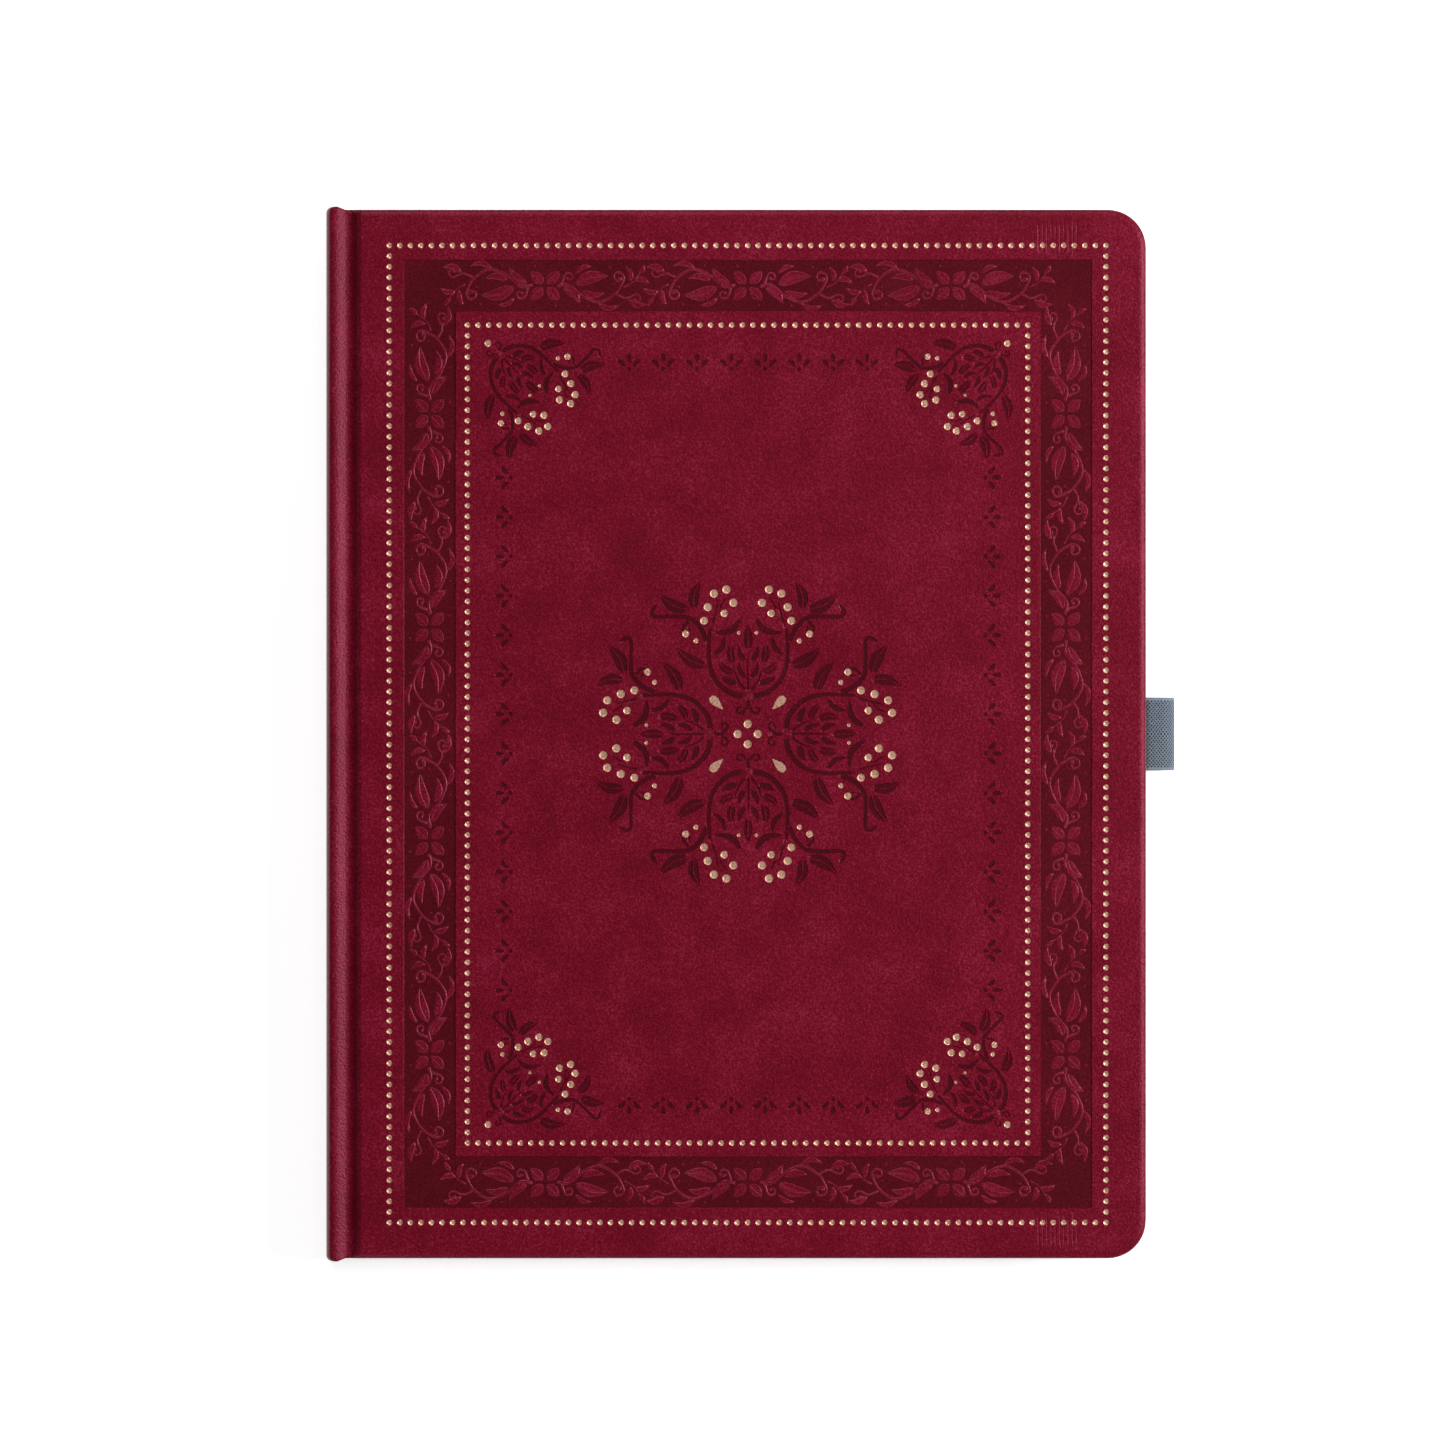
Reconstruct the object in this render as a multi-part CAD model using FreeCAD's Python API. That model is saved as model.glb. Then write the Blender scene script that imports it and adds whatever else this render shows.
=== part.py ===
import FreeCAD, Part

# A hard-cover prayer book: a sewn text block in a leather case that opens front and back, with an
# elastic pen loop at the fore-edge and an elastic closure band parked in the back cover.
# Frame: +X from the spine to the fore-edge, +Y from tail to head, +Z from the back cover to the
# front cover. The origin is the middle of the back cover's outer face, on which the book lies.
# Places across the book are given as u, the distance from the outer face of the spine.

import math
import os

V = FreeCAD.Vector

# ---------------------------------------------------------------- driving dimensions, mm
PAGE_W = 215.9               # a leaf, from its fold to the fore-edge
PAGE_H = 279.4               # a leaf, from tail to head
PAGE_CORNER_R = 8.0
PAPER = 0.18
LEAF_AIR = 0.02              # air between two leaves of one signature
SHEETS_PER_SIGNATURE = 4
SIGNATURES = 10
SIGNATURE_AIR = 0.04         # air between two signatures
ENDPAPER = 0.2
BLOCK_AIR = 0.1              # air between the text block, its flyleaves and the covers

FORE_SQUARE = 3.5            # how far the cover stands out past the leaves at the fore-edge
END_SQUARE = 3.3             # the same at head and tail
COVER_CORNER_R = 10.4
LEATHER = 0.8
EDGE_ROUND = 1.0             # the leather's round over the board's outer edge
BOARD = 2.2
TURN_IN = 0.5                # skived thickness of the turned-in leather and of the infill card
TURN_IN_W = 15.0
HINGE_CLOTH_W = 22.0
CARD_FIT = 0.1               # gap between cards and leather edges in one cover

SPINE_LINER = 1.0
SPINE_HOLLOW = 1.6           # from the liner to the mull
SPINE_TURN_IN = 0.6
SPINE_TURN_IN_L = 12.0
SPINE_OVERHANG = 0.9         # how far the spine stands out past the covers at head and tail
SPINE_STRIP_W = 5.3          # the rounded spine, from its outer face to the joint
SPINE_ROUND_R = 3.5
SPINE_DROP = 1.4             # how far the rounded spine lies below the cover's outer face
JOINT_W = 3.5                # the flexing leather between the spine and the board
JOINT_FLOOR_W = 1.4          # the flat floor of the joint's groove
JOINT_CLEAR = 0.6            # from the underside of the groove to the pastedown's inner face
HINGE_IN = 1.5               # the hinge line, from the spine's strip
HINGE_DROP = 0.5             # the hinge line, below the cover's outer face

MULL = 0.3
MULL_SHORT = 12.0            # how far the mull stops short of head and tail
THREAD_D = 0.4
THREAD_GAP = 0.05            # between the thread and what lies each side of it
SEWING_STATIONS = 6
SEWING_END = 18.0            # the outer stations, from head and tail
BAND_ROLL_R = 0.9            # the rolled edge of a head or tail band
BAND_FLANGE = 0.4
BAND_FLANGE_L = 10.0
BAND_GAP = 0.1

ELASTIC_W = 10.0             # closure band
ELASTIC_T = 0.9
ELASTIC_U_IN = 24.2          # the band's middle line, from the cover's fore-edge
ELASTIC_SLOT_IN = 20.0       # the slots' middle lines, from head and tail
ELASTIC_TAIL_L = 22.0
ELASTIC_SIDE = 0.5           # room beside the band in its channel
ELASTIC_FACE = 0.1           # how far the band lies below the cover's outer face
ELASTIC_SLOT_ROOM = 0.25     # room each side of the band in its slot

LOOP_W = 20.0                # pen loop, along the fore-edge
LOOP_T = 0.9
LOOP_REACH = 8.2             # how far the loop stands out past the fore-edge
LOOP_HEIGHT = 7.0
LOOP_SEAT_L = 16.0
LOOP_SIDE = 0.3
LOOP_NECK_R = 1.9            # outer bend over the cover's edge
LOOP_HINGE_GAP = 0.1         # between the glued ends and the loop that flexes

# ---------------------------------------------------------------- sizes that follow
TEXT_U = LEATHER + SPINE_LINER + SPINE_HOLLOW + MULL + THREAD_D + 2 * THREAD_GAP
COVER_W = TEXT_U + PAGE_W + FORE_SQUARE
COVER_H = PAGE_H + 2 * END_SQUARE
PAGE_U = TEXT_U + PAGE_W
LEAF_PITCH = PAPER + LEAF_AIR
SIGNATURE_T = 2 * SHEETS_PER_SIGNATURE * LEAF_PITCH - LEAF_AIR
SIGNATURE_PITCH = SIGNATURE_T + SIGNATURE_AIR
INNER_Z = LEATHER + BOARD + TURN_IN                  # inner face of the lining card
COVER_T = INNER_Z + ENDPAPER                         # inner face of the pastedown
FLYLEAF_Z = COVER_T + BLOCK_AIR
BLOCK_Z = FLYLEAF_Z + ENDPAPER + BLOCK_AIR
BLOCK_TOP = BLOCK_Z + SIGNATURES * SIGNATURE_PITCH - SIGNATURE_AIR
BOOK_T = BLOCK_TOP + BLOCK_Z
JOINT_U = SPINE_STRIP_W
BOARD_U = JOINT_U + JOINT_W
BOARD_Z = LEATHER
LINING_Z = LEATHER + BOARD
SPINE_H = COVER_H + 2 * SPINE_OVERHANG
HINGE_U = JOINT_U + HINGE_IN
LOOP_SEAT_Z = INNER_Z - 2 * LOOP_T                   # underside of the loop's two glued ends


# ---------------------------------------------------------------- shapes
def block(u0, u1, y0, y1, z0, z1):
    """A box between two places across, along and through the book."""
    return Part.makeBox(u1 - u0, y1 - y0, z1 - z0, V(u0 - COVER_W / 2, y0, z0))


def strip(u0, u1, half, z0, z1):
    """A box that is centred between head and tail."""
    return block(u0, u1, -half, half, z0, z1)


def plate(u0, u1, half, z0, z1, corner_r):
    """A flat plate with its two fore-edge corners rounded."""
    x0 = u0 - COVER_W / 2
    x1 = u1 - COVER_W / 2
    bend = corner_r * (1 - math.sqrt(0.5))
    edges = [
        Part.LineSegment(V(x0, -half, z0), V(x1 - corner_r, -half, z0)),
        Part.Arc(V(x1 - corner_r, -half, z0), V(x1 - bend, -half + bend, z0), V(x1, -half + corner_r, z0)),
        Part.LineSegment(V(x1, -half + corner_r, z0), V(x1, half - corner_r, z0)),
        Part.Arc(V(x1, half - corner_r, z0), V(x1 - bend, half - bend, z0), V(x1 - corner_r, half, z0)),
        Part.LineSegment(V(x1 - corner_r, half, z0), V(x0, half, z0)),
        Part.LineSegment(V(x0, half, z0), V(x0, -half, z0)),
    ]
    outline = Part.Wire([edge.toShape() for edge in edges])
    return Part.Face(outline).extrude(V(0, 0, z1 - z0))


def run_along(points, half):
    """A profile across the book, run along the spine.

    A point is (u, z), and an arc is (middle u, middle z, end u, end z).
    """
    def place(u, z):
        return V(u - COVER_W / 2, -half, z)

    here = place(*points[0][-2:])
    start = here
    edges = []
    for point in points[1:] + [points[0][-2:]]:
        there = place(*point[-2:])
        if there.distanceToPoint(here) < 1e-9:
            continue
        if len(point) == 4:
            edges.append(Part.Arc(here, place(*point[:2]), there).toShape())
        else:
            edges.append(Part.LineSegment(here, there).toShape())
        here = there
    assert here.distanceToPoint(start) < 1e-9
    return Part.Face(Part.Wire(edges)).extrude(V(0, 2 * half, 0))


def on_circle(u, z, radius, degrees):
    """A point of a circle across the book."""
    return (u + radius * math.cos(math.radians(degrees)), z + radius * math.sin(math.radians(degrees)))


def to_front(shape):
    """The mirror image through the middle of the book's thickness."""
    return shape.mirror(V(0, 0, BOOK_T / 2), V(0, 0, 1))


def save(name, *solids):
    """Writes one node, which is one solid or a group of separate solids."""
    for solid in solids:
        assert solid.isValid() and solid.Volume > 0, name
    shape = solids[0] if len(solids) == 1 else Part.makeCompound(list(solids))
    shape.exportStep(os.path.join("parts", name + ".step"))


# ---------------------------------------------------------------- covers
def cover_leather():
    """The leather over one board: outer face, three rounded edges and three turn-ins."""
    outer = plate(BOARD_U, COVER_W, COVER_H / 2, 0, INNER_Z, COVER_CORNER_R)
    rim = [e for e in outer.Edges if on_outer_rim(e)]
    outer = outer.makeFillet(EDGE_ROUND, rim)
    seat = plate(BOARD_U - 1, COVER_W - LEATHER, COVER_H / 2 - LEATHER, BOARD_Z, LINING_Z,
                 COVER_CORNER_R - LEATHER)
    window = strip(BOARD_U - 1, COVER_W - LEATHER - TURN_IN_W, COVER_H / 2 - LEATHER - TURN_IN_W,
                   LINING_Z - 1, INNER_Z + 1)
    return outer.cut(seat).cut(window)


def on_outer_rim(edge):
    """Whether an edge runs round the outer face at head, fore-edge or tail."""
    box = edge.BoundBox
    at_joint = box.XMax - (BOARD_U - COVER_W / 2) < 1e-6
    return box.ZMax < 1e-6 and not at_joint


def cover_board():
    """The board, which fills the leather."""
    return plate(BOARD_U, COVER_W - LEATHER, COVER_H / 2 - LEATHER, BOARD_Z, LINING_Z,
                 COVER_CORNER_R - LEATHER)


def infill_card():
    """The card that levels the board's inner face between the turn-ins."""
    return strip(BOARD_U + HINGE_CLOTH_W + CARD_FIT, COVER_W - LEATHER - TURN_IN_W - CARD_FIT,
                 COVER_H / 2 - LEATHER - TURN_IN_W - CARD_FIT, LINING_Z, INNER_Z)


def hinge_cloth():
    """The mull's flange, pasted to the board beside the joint."""
    return strip(BOARD_U, BOARD_U + HINGE_CLOTH_W,
                 COVER_H / 2 - LEATHER - TURN_IN_W - CARD_FIT, LINING_Z, INNER_Z)


def pastedown():
    """The endpaper that covers the board's inner face."""
    return plate(BOARD_U, PAGE_U, PAGE_H / 2, INNER_Z, COVER_T, PAGE_CORNER_R)


# ---------------------------------------------------------------- closure band
ELASTIC_U = COVER_W - ELASTIC_U_IN
SLOT_Y = COVER_H / 2 - ELASTIC_SLOT_IN
SLOT_HALF = ELASTIC_T / 2 + ELASTIC_SLOT_ROOM
CHANNEL_HALF = ELASTIC_W / 2 + ELASTIC_SIDE
CHANNEL_Z = ELASTIC_FACE + ELASTIC_T
CHANNEL_END = SLOT_Y + SLOT_HALF


def channel():
    """The pressed channel in which the band lies."""
    return strip(ELASTIC_U - CHANNEL_HALF, ELASTIC_U + CHANNEL_HALF, CHANNEL_END, 0, CHANNEL_Z)


def channel_lining():
    """The leather round the channel, down to its underside."""
    return strip(ELASTIC_U - CHANNEL_HALF - LEATHER, ELASTIC_U + CHANNEL_HALF + LEATHER,
                 CHANNEL_END + LEATHER, LEATHER, CHANNEL_Z + LEATHER)


def slots():
    """The two slots through which the band's ends pass, with the seats of its tails."""
    cut = []
    for side in (-1, 1):
        slot = [side * (SLOT_Y - SLOT_HALF), side * (SLOT_Y + SLOT_HALF)]
        cut.append(block(ELASTIC_U - CHANNEL_HALF, ELASTIC_U + CHANNEL_HALF, min(slot), max(slot),
                         CHANNEL_Z - 0.5, INNER_Z))
        seat = [side * (SLOT_Y + SLOT_HALF), side * (SLOT_Y - ELASTIC_TAIL_L - ELASTIC_SIDE)]
        cut.append(block(ELASTIC_U - CHANNEL_HALF, ELASTIC_U + CHANNEL_HALF, min(seat), max(seat),
                         INNER_Z - ELASTIC_T, INNER_Z))
    return cut


def closure_band():
    """The elastic, parked in its channel, with its ends through the slots and glued down."""
    half = ELASTIC_W / 2
    end = SLOT_Y + ELASTIC_T / 2
    band = strip(ELASTIC_U - half, ELASTIC_U + half, end, ELASTIC_FACE, CHANNEL_Z)
    for side in (-1, 1):
        leg = [side * (end - ELASTIC_T), side * end]
        band = band.fuse(block(ELASTIC_U - half, ELASTIC_U + half, min(leg), max(leg),
                               ELASTIC_FACE, INNER_Z))
        tail = [side * end, side * (end - ELASTIC_TAIL_L)]
        band = band.fuse(block(ELASTIC_U - half, ELASTIC_U + half, min(tail), max(tail),
                               INNER_Z - ELASTIC_T, INNER_Z))
    return band.removeSplitter()


# ---------------------------------------------------------------- pen loop
LOOP_SEAT_U = COVER_W - LOOP_SEAT_L


def loop_seat():
    """The recess in the board and the turned-in leather for the loop's glued ends."""
    return strip(LOOP_SEAT_U - LOOP_SIDE, COVER_W + 1, LOOP_W / 2 + LOOP_SIDE, LOOP_SEAT_Z, INNER_Z)


def pen_loop_ends():
    """The two ends of the loop's elastic, one on the other under the pastedown."""
    middle = LOOP_SEAT_Z + LOOP_T
    return [strip(LOOP_SEAT_U, COVER_W, LOOP_W / 2, z, z + LOOP_T) for z in (LOOP_SEAT_Z, middle)]


def pen_loop():
    """The loop outside the cover: flat below and above, rounded at its outer end."""
    start = COVER_W + LOOP_HINGE_GAP
    low = LOOP_SEAT_Z
    top = low + LOOP_HEIGHT
    end_r = LOOP_HEIGHT / 2
    end_u = COVER_W + LOOP_REACH - end_r
    end_z = low + end_r
    neck_u = start + LOOP_NECK_R
    neck_z = top - LOOP_NECK_R
    outer = [
        (start, low), (end_u, low),
        on_circle(end_u, end_z, end_r, 0) + (end_u, top),
        (neck_u, top),
        on_circle(neck_u, neck_z, LOOP_NECK_R, 135) + (start, neck_z),
    ]
    inner_r = end_r - LOOP_T
    inner_neck_r = LOOP_NECK_R - LOOP_T
    inner = [
        (start + LOOP_T, low + LOOP_T), (end_u, low + LOOP_T),
        on_circle(end_u, end_z, inner_r, 0) + (end_u, top - LOOP_T),
        (neck_u, top - LOOP_T),
        on_circle(neck_u, neck_z, inner_neck_r, 135) + (start + LOOP_T, neck_z),
    ]
    return run_along(outer, LOOP_W / 2).cut(run_along(inner, LOOP_W / 2))


# ---------------------------------------------------------------- spine and joints
def spine_section(inset, half):
    """The rounded spine's outline, an inset in from its outer face."""
    right = SPINE_STRIP_W
    low = SPINE_DROP + inset
    top = BOOK_T - SPINE_DROP - inset
    bend = SPINE_ROUND_R - inset
    middle = inset + bend
    return run_along([
        (right, low), (right, top), (middle, top),
        on_circle(middle, top - bend, bend, 135) + (inset, top - bend),
        (inset, low + bend),
        on_circle(middle, low + bend, bend, 225) + (middle, low),
    ], half)


LINER_Z = SPINE_DROP + SPINE_ROUND_R       # the flat stretch of the spine, between its rounds


def spine_leather():
    """The leather round the spine, turned in over the liner at head and tail."""
    skin = spine_section(0, SPINE_H / 2).cut(spine_section(LEATHER, SPINE_H / 2))
    turn_u = LEATHER + SPINE_LINER
    for side in (-1, 1):
        cap = [side * (SPINE_H / 2 - LEATHER), side * SPINE_H / 2]
        flap = [side * (SPINE_H / 2 - SPINE_TURN_IN_L), side * SPINE_H / 2]
        low, top = LINER_Z, BOOK_T - LINER_Z
        skin = skin.fuse(block(LEATHER / 2, turn_u + SPINE_TURN_IN, min(cap), max(cap), low, top))
        skin = skin.fuse(block(turn_u, turn_u + SPINE_TURN_IN, min(flap), max(flap), low, top))
    return skin.removeSplitter()


def spine_liner():
    """The card that stiffens the spine."""
    return strip(LEATHER, LEATHER + SPINE_LINER, SPINE_H / 2 - LEATHER, LINER_Z, BOOK_T - LINER_Z)


def joint_leather():
    """The leather that flexes between the spine and the back board, pressed into a groove."""
    spine_z = SPINE_DROP
    floor_z = COVER_T - JOINT_CLEAR - LEATHER
    floor_u = (JOINT_W - JOINT_FLOOR_W) / 2
    a, b, c, d = JOINT_U, JOINT_U + floor_u, BOARD_U - floor_u, BOARD_U
    return run_along([
        (a, spine_z), (b, floor_z), (c, floor_z), (d, 0),
        (d, LEATHER), (c, floor_z + LEATHER), (b, floor_z + LEATHER), (a, spine_z + LEATHER),
    ], COVER_H / 2)


# ---------------------------------------------------------------- text block
def folded_sheet(number, base_z):
    """One folded sheet of a signature; number 0 is the outermost."""
    outer_r = SIGNATURE_T / 2 - number * LEAF_PITCH
    inner_r = outer_r - PAPER
    fold_u = TEXT_U + SIGNATURE_T / 2
    fold_z = base_z + SIGNATURE_T / 2
    low, top = fold_z - outer_r, fold_z + outer_r
    inner_low, inner_top = fold_z - inner_r, fold_z + inner_r
    far = PAGE_U + 1
    outline = [(far, low), (far, inner_low), (fold_u, inner_low)]
    if inner_r > PAPER / 2:
        outline.append(on_circle(fold_u, fold_z, inner_r, 180) + (fold_u, inner_top))
    else:
        outline.append((fold_u, inner_top))
    outline += [
        (far, inner_top), (far, top), (fold_u, top),
        on_circle(fold_u, fold_z, outer_r, 180) + (fold_u, low),
    ]
    trim = plate(TEXT_U - 1, PAGE_U, PAGE_H / 2, base_z - 1, base_z + SIGNATURE_T + 1, PAGE_CORNER_R)
    return run_along(outline, PAGE_H / 2).common(trim)


def signature(number):
    """One signature, counted from the back of the book."""
    base_z = BLOCK_Z + (number - 1) * SIGNATURE_PITCH
    return [folded_sheet(sheet, base_z).Solids[0] for sheet in range(SHEETS_PER_SIGNATURE)]


def flyleaf():
    """The free half of an endpaper."""
    return plate(TEXT_U, PAGE_U, PAGE_H / 2, FLYLEAF_Z, FLYLEAF_Z + ENDPAPER, PAGE_CORNER_R)


def mull():
    """The gauze glued over the folds."""
    face = TEXT_U - THREAD_D - 2 * THREAD_GAP
    return strip(face - MULL, face, PAGE_H / 2 - MULL_SHORT, BLOCK_Z, BLOCK_TOP)


def sewing_threads():
    """The chains of stitches over the folds, one at each sewing station."""
    span = PAGE_H - 2 * SEWING_END
    line_x = TEXT_U - THREAD_GAP - THREAD_D / 2 - COVER_W / 2
    inset = SIGNATURE_T / 2
    chains = []
    for station in range(SEWING_STATIONS):
        y = -span / 2 + station * span / (SEWING_STATIONS - 1)
        chains.append(Part.makeCylinder(THREAD_D / 2, BLOCK_TOP - BLOCK_Z - 2 * inset,
                                        V(line_x, y, BLOCK_Z + inset), V(0, 0, 1)))
    return chains


def head_band(side):
    """The rolled band at the head (1) or the tail (-1) of the spine, with its glued flange."""
    roll_y = side * (PAGE_H / 2 + BAND_GAP + BAND_ROLL_R)
    roll_u = TEXT_U - THREAD_D
    height = BLOCK_TOP - BLOCK_Z
    roll = Part.makeCylinder(BAND_ROLL_R, height, V(roll_u - COVER_W / 2, roll_y, BLOCK_Z), V(0, 0, 1))
    flange_u = TEXT_U - THREAD_D - 2 * THREAD_GAP - MULL - BAND_GAP / 2
    ends = [side * (PAGE_H / 2 - BAND_FLANGE_L), roll_y]
    flange = block(flange_u - BAND_FLANGE, flange_u, min(ends), max(ends), BLOCK_Z, BLOCK_TOP)
    neck = [roll_y - side * BAND_ROLL_R / 2, roll_y]
    bridge = block(flange_u - BAND_FLANGE, roll_u, min(neck), max(neck), BLOCK_Z, BLOCK_TOP)
    return roll.fuse(flange).fuse(bridge).removeSplitter()


# ---------------------------------------------------------------- the book
def main():
    """Builds and writes every node."""
    os.makedirs("parts", exist_ok=True)

    leather = cover_leather()
    board = cover_board()
    back_leather = leather.fuse(channel_lining()).cut(channel()).cut(loop_seat())
    back_board = board.cut(channel_lining()).cut(loop_seat())
    back_infill = infill_card().cut(loop_seat())
    for slot in slots():
        back_leather = back_leather.cut(slot)
        back_board = back_board.cut(slot)
        back_infill = back_infill.cut(slot)
    save("back_leather", back_leather.removeSplitter())
    save("back_board", back_board)
    save("back_infill_card", back_infill)
    save("back_hinge_cloth", hinge_cloth())
    save("back_pastedown", pastedown())
    save("closure_band", closure_band())
    save("pen_loop_ends", *pen_loop_ends())
    save("pen_loop", pen_loop())

    save("front_leather", to_front(leather))
    save("front_board", to_front(board))
    save("front_infill_card", to_front(infill_card()))
    save("front_hinge_cloth", to_front(hinge_cloth()))
    save("front_pastedown", to_front(pastedown()))

    save("spine_leather", spine_leather())
    save("spine_liner", spine_liner())
    save("back_joint_leather", joint_leather())
    save("front_joint_leather", to_front(joint_leather()))

    for number in range(1, SIGNATURES + 1):
        save("signature_%02d" % number, *signature(number))
    save("back_flyleaf", flyleaf())
    save("front_flyleaf", to_front(flyleaf()))
    save("mull", mull())
    save("sewing_threads", *sewing_threads())
    save("head_band", head_band(1))
    save("tail_band", head_band(-1))

    print("cover %.2f x %.2f x %.2f mm" % (COVER_W, COVER_H, BOOK_T))
    print("hinge lines at x %.2f, z %.2f and %.2f" % (HINGE_U - COVER_W / 2, HINGE_DROP, BOOK_T - HINGE_DROP))
    print("leaves turn at x %.2f, z %.2f and %.2f" % (TEXT_U - COVER_W / 2, FLYLEAF_Z, BOOK_T - FLYLEAF_Z))
    print("pen loop flexes at x %.2f, z %.2f" % (COVER_W / 2, INNER_Z))


main()
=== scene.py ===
"""The looks of a hard-cover prayer book: tooled leather case, sewn leaves, end bands and elastics.

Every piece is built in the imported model's own frame: +X from the spine to the fore-edge, +Y from
tail to head and +Z from the back cover to the front cover. Sizes are millimetres; meshes are metres.
"""

import logging
import random
from collections.abc import Callable, Sequence
from dataclasses import dataclass, field
from enum import Enum
from math import atan2, cos, degrees, dist, exp, hypot, pi, radians, sin, sqrt

import bmesh
import bpy
from bpy.types import Material, Node, NodeSocket, NodeTree, Object
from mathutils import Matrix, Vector
from mathutils.geometry import delaunay_2d_cdt


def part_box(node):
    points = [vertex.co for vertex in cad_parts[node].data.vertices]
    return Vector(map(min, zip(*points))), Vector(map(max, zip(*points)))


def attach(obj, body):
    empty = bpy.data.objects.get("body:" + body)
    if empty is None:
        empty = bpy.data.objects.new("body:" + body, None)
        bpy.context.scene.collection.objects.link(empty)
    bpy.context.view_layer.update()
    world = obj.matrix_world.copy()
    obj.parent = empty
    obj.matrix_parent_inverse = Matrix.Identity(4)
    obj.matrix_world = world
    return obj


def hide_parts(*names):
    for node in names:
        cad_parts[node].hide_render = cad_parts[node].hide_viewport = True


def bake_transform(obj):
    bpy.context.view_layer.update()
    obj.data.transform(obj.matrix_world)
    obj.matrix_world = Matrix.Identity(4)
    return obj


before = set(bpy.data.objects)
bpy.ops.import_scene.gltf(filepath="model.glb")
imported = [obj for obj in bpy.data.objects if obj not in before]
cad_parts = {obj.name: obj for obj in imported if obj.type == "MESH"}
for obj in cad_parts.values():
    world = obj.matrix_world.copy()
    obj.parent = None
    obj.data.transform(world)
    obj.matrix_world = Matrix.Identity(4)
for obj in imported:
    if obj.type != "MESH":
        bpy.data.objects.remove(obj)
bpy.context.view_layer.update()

LOG = logging.getLogger("prayer_book")
MM = 0.001
WAVE_CELLS = 3.2  # bands that a wave pattern shows in one unit of its scale

Point = tuple[float, float]
Place = tuple[float, float, float]
Source = Node | NodeSocket


# ---- colours and nodes
def linear(hex_colour: str) -> tuple[float, float, float, float]:
    """Turns an sRGB hex colour to linear light.

    Args:
        hex_colour: six hex digits after a hash.

    Returns:
        Red, green, blue and a full alpha.
    """
    digits = hex_colour.lstrip("#")
    channels = []
    for start in (0, 2, 4):
        value = int(digits[start:start + 2], 16) / 255
        channels.append(value / 12.92 if value <= 0.04045 else ((value + 0.055) / 1.055) ** 2.4)
    return (*channels, 1.0)


def add_node(tree: NodeTree, kind: str, settings: dict | None = None,
             **links: Source) -> Node:
    """Adds one node with its settings and links.

    Args:
        tree: the node tree that takes it.
        kind: the node's type name, without "ShaderNode".
        settings: values by property name or by input name or number, and "stops" for a colour ramp.
        links: nodes or output sockets by input name, with "_" for a space, or by "in" and a number.
            A node stands for its first output.

    Returns:
        The new node.
    """
    node = tree.nodes.new("ShaderNode" + kind)
    for key, value in (settings or {}).items():
        if key == "stops":
            elements = node.color_ramp.elements
            while len(elements) < len(value):
                elements.new(0.5)
            for element, (place, colour) in zip(elements, value):
                element.position, element.color = place, linear(colour)
        elif isinstance(key, str) and hasattr(node, key):
            setattr(node, key, value)
        else:
            node.inputs[key].default_value = value
    for key, source in links.items():
        socket = source.outputs[0] if isinstance(source, Node) else source
        slot = int(key[2:]) if key[:2] == "in" and key[2:].isdigit() else key.replace("_", " ")
        tree.links.new(socket, node.inputs[slot])
    return node


def per_mm(size: float) -> float:
    """A pattern's scale on metre coordinates, from the size of one cell in millimetres."""
    return 1 / (size * MM)


def new_material(name: str) -> tuple[Material, NodeTree, NodeSocket]:
    """Makes an empty node material.

    Args:
        name: the real material's name.

    Returns:
        The material, its tree and the piece's own coordinates.
    """
    material = bpy.data.materials.new(name)
    material.use_nodes = True
    tree = material.node_tree
    tree.nodes.clear()
    return material, tree, add_node(tree, "TexCoord").outputs["Object"]


def close_material(tree: NodeTree, colour: Source, height: Source, relief: tuple[float, float],
                   settings: dict, **links: Source) -> None:
    """Ends a material in one shader with a fine relief.

    Args:
        tree: the material's tree.
        colour: the colour.
        height: the relief's height.
        relief: the relief's strength, and its depth in millimetres.
        settings: the shader's own values.
        links: what else drives the shader.
    """
    strength, depth_mm = relief
    bump = add_node(tree, "Bump", {"Strength": strength, "Distance": depth_mm * MM}, Height=height)
    shader = add_node(tree, "BsdfPrincipled", settings, Base_Color=colour, Normal=bump, **links)
    add_node(tree, "OutputMaterial", Surface=shader)


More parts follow.
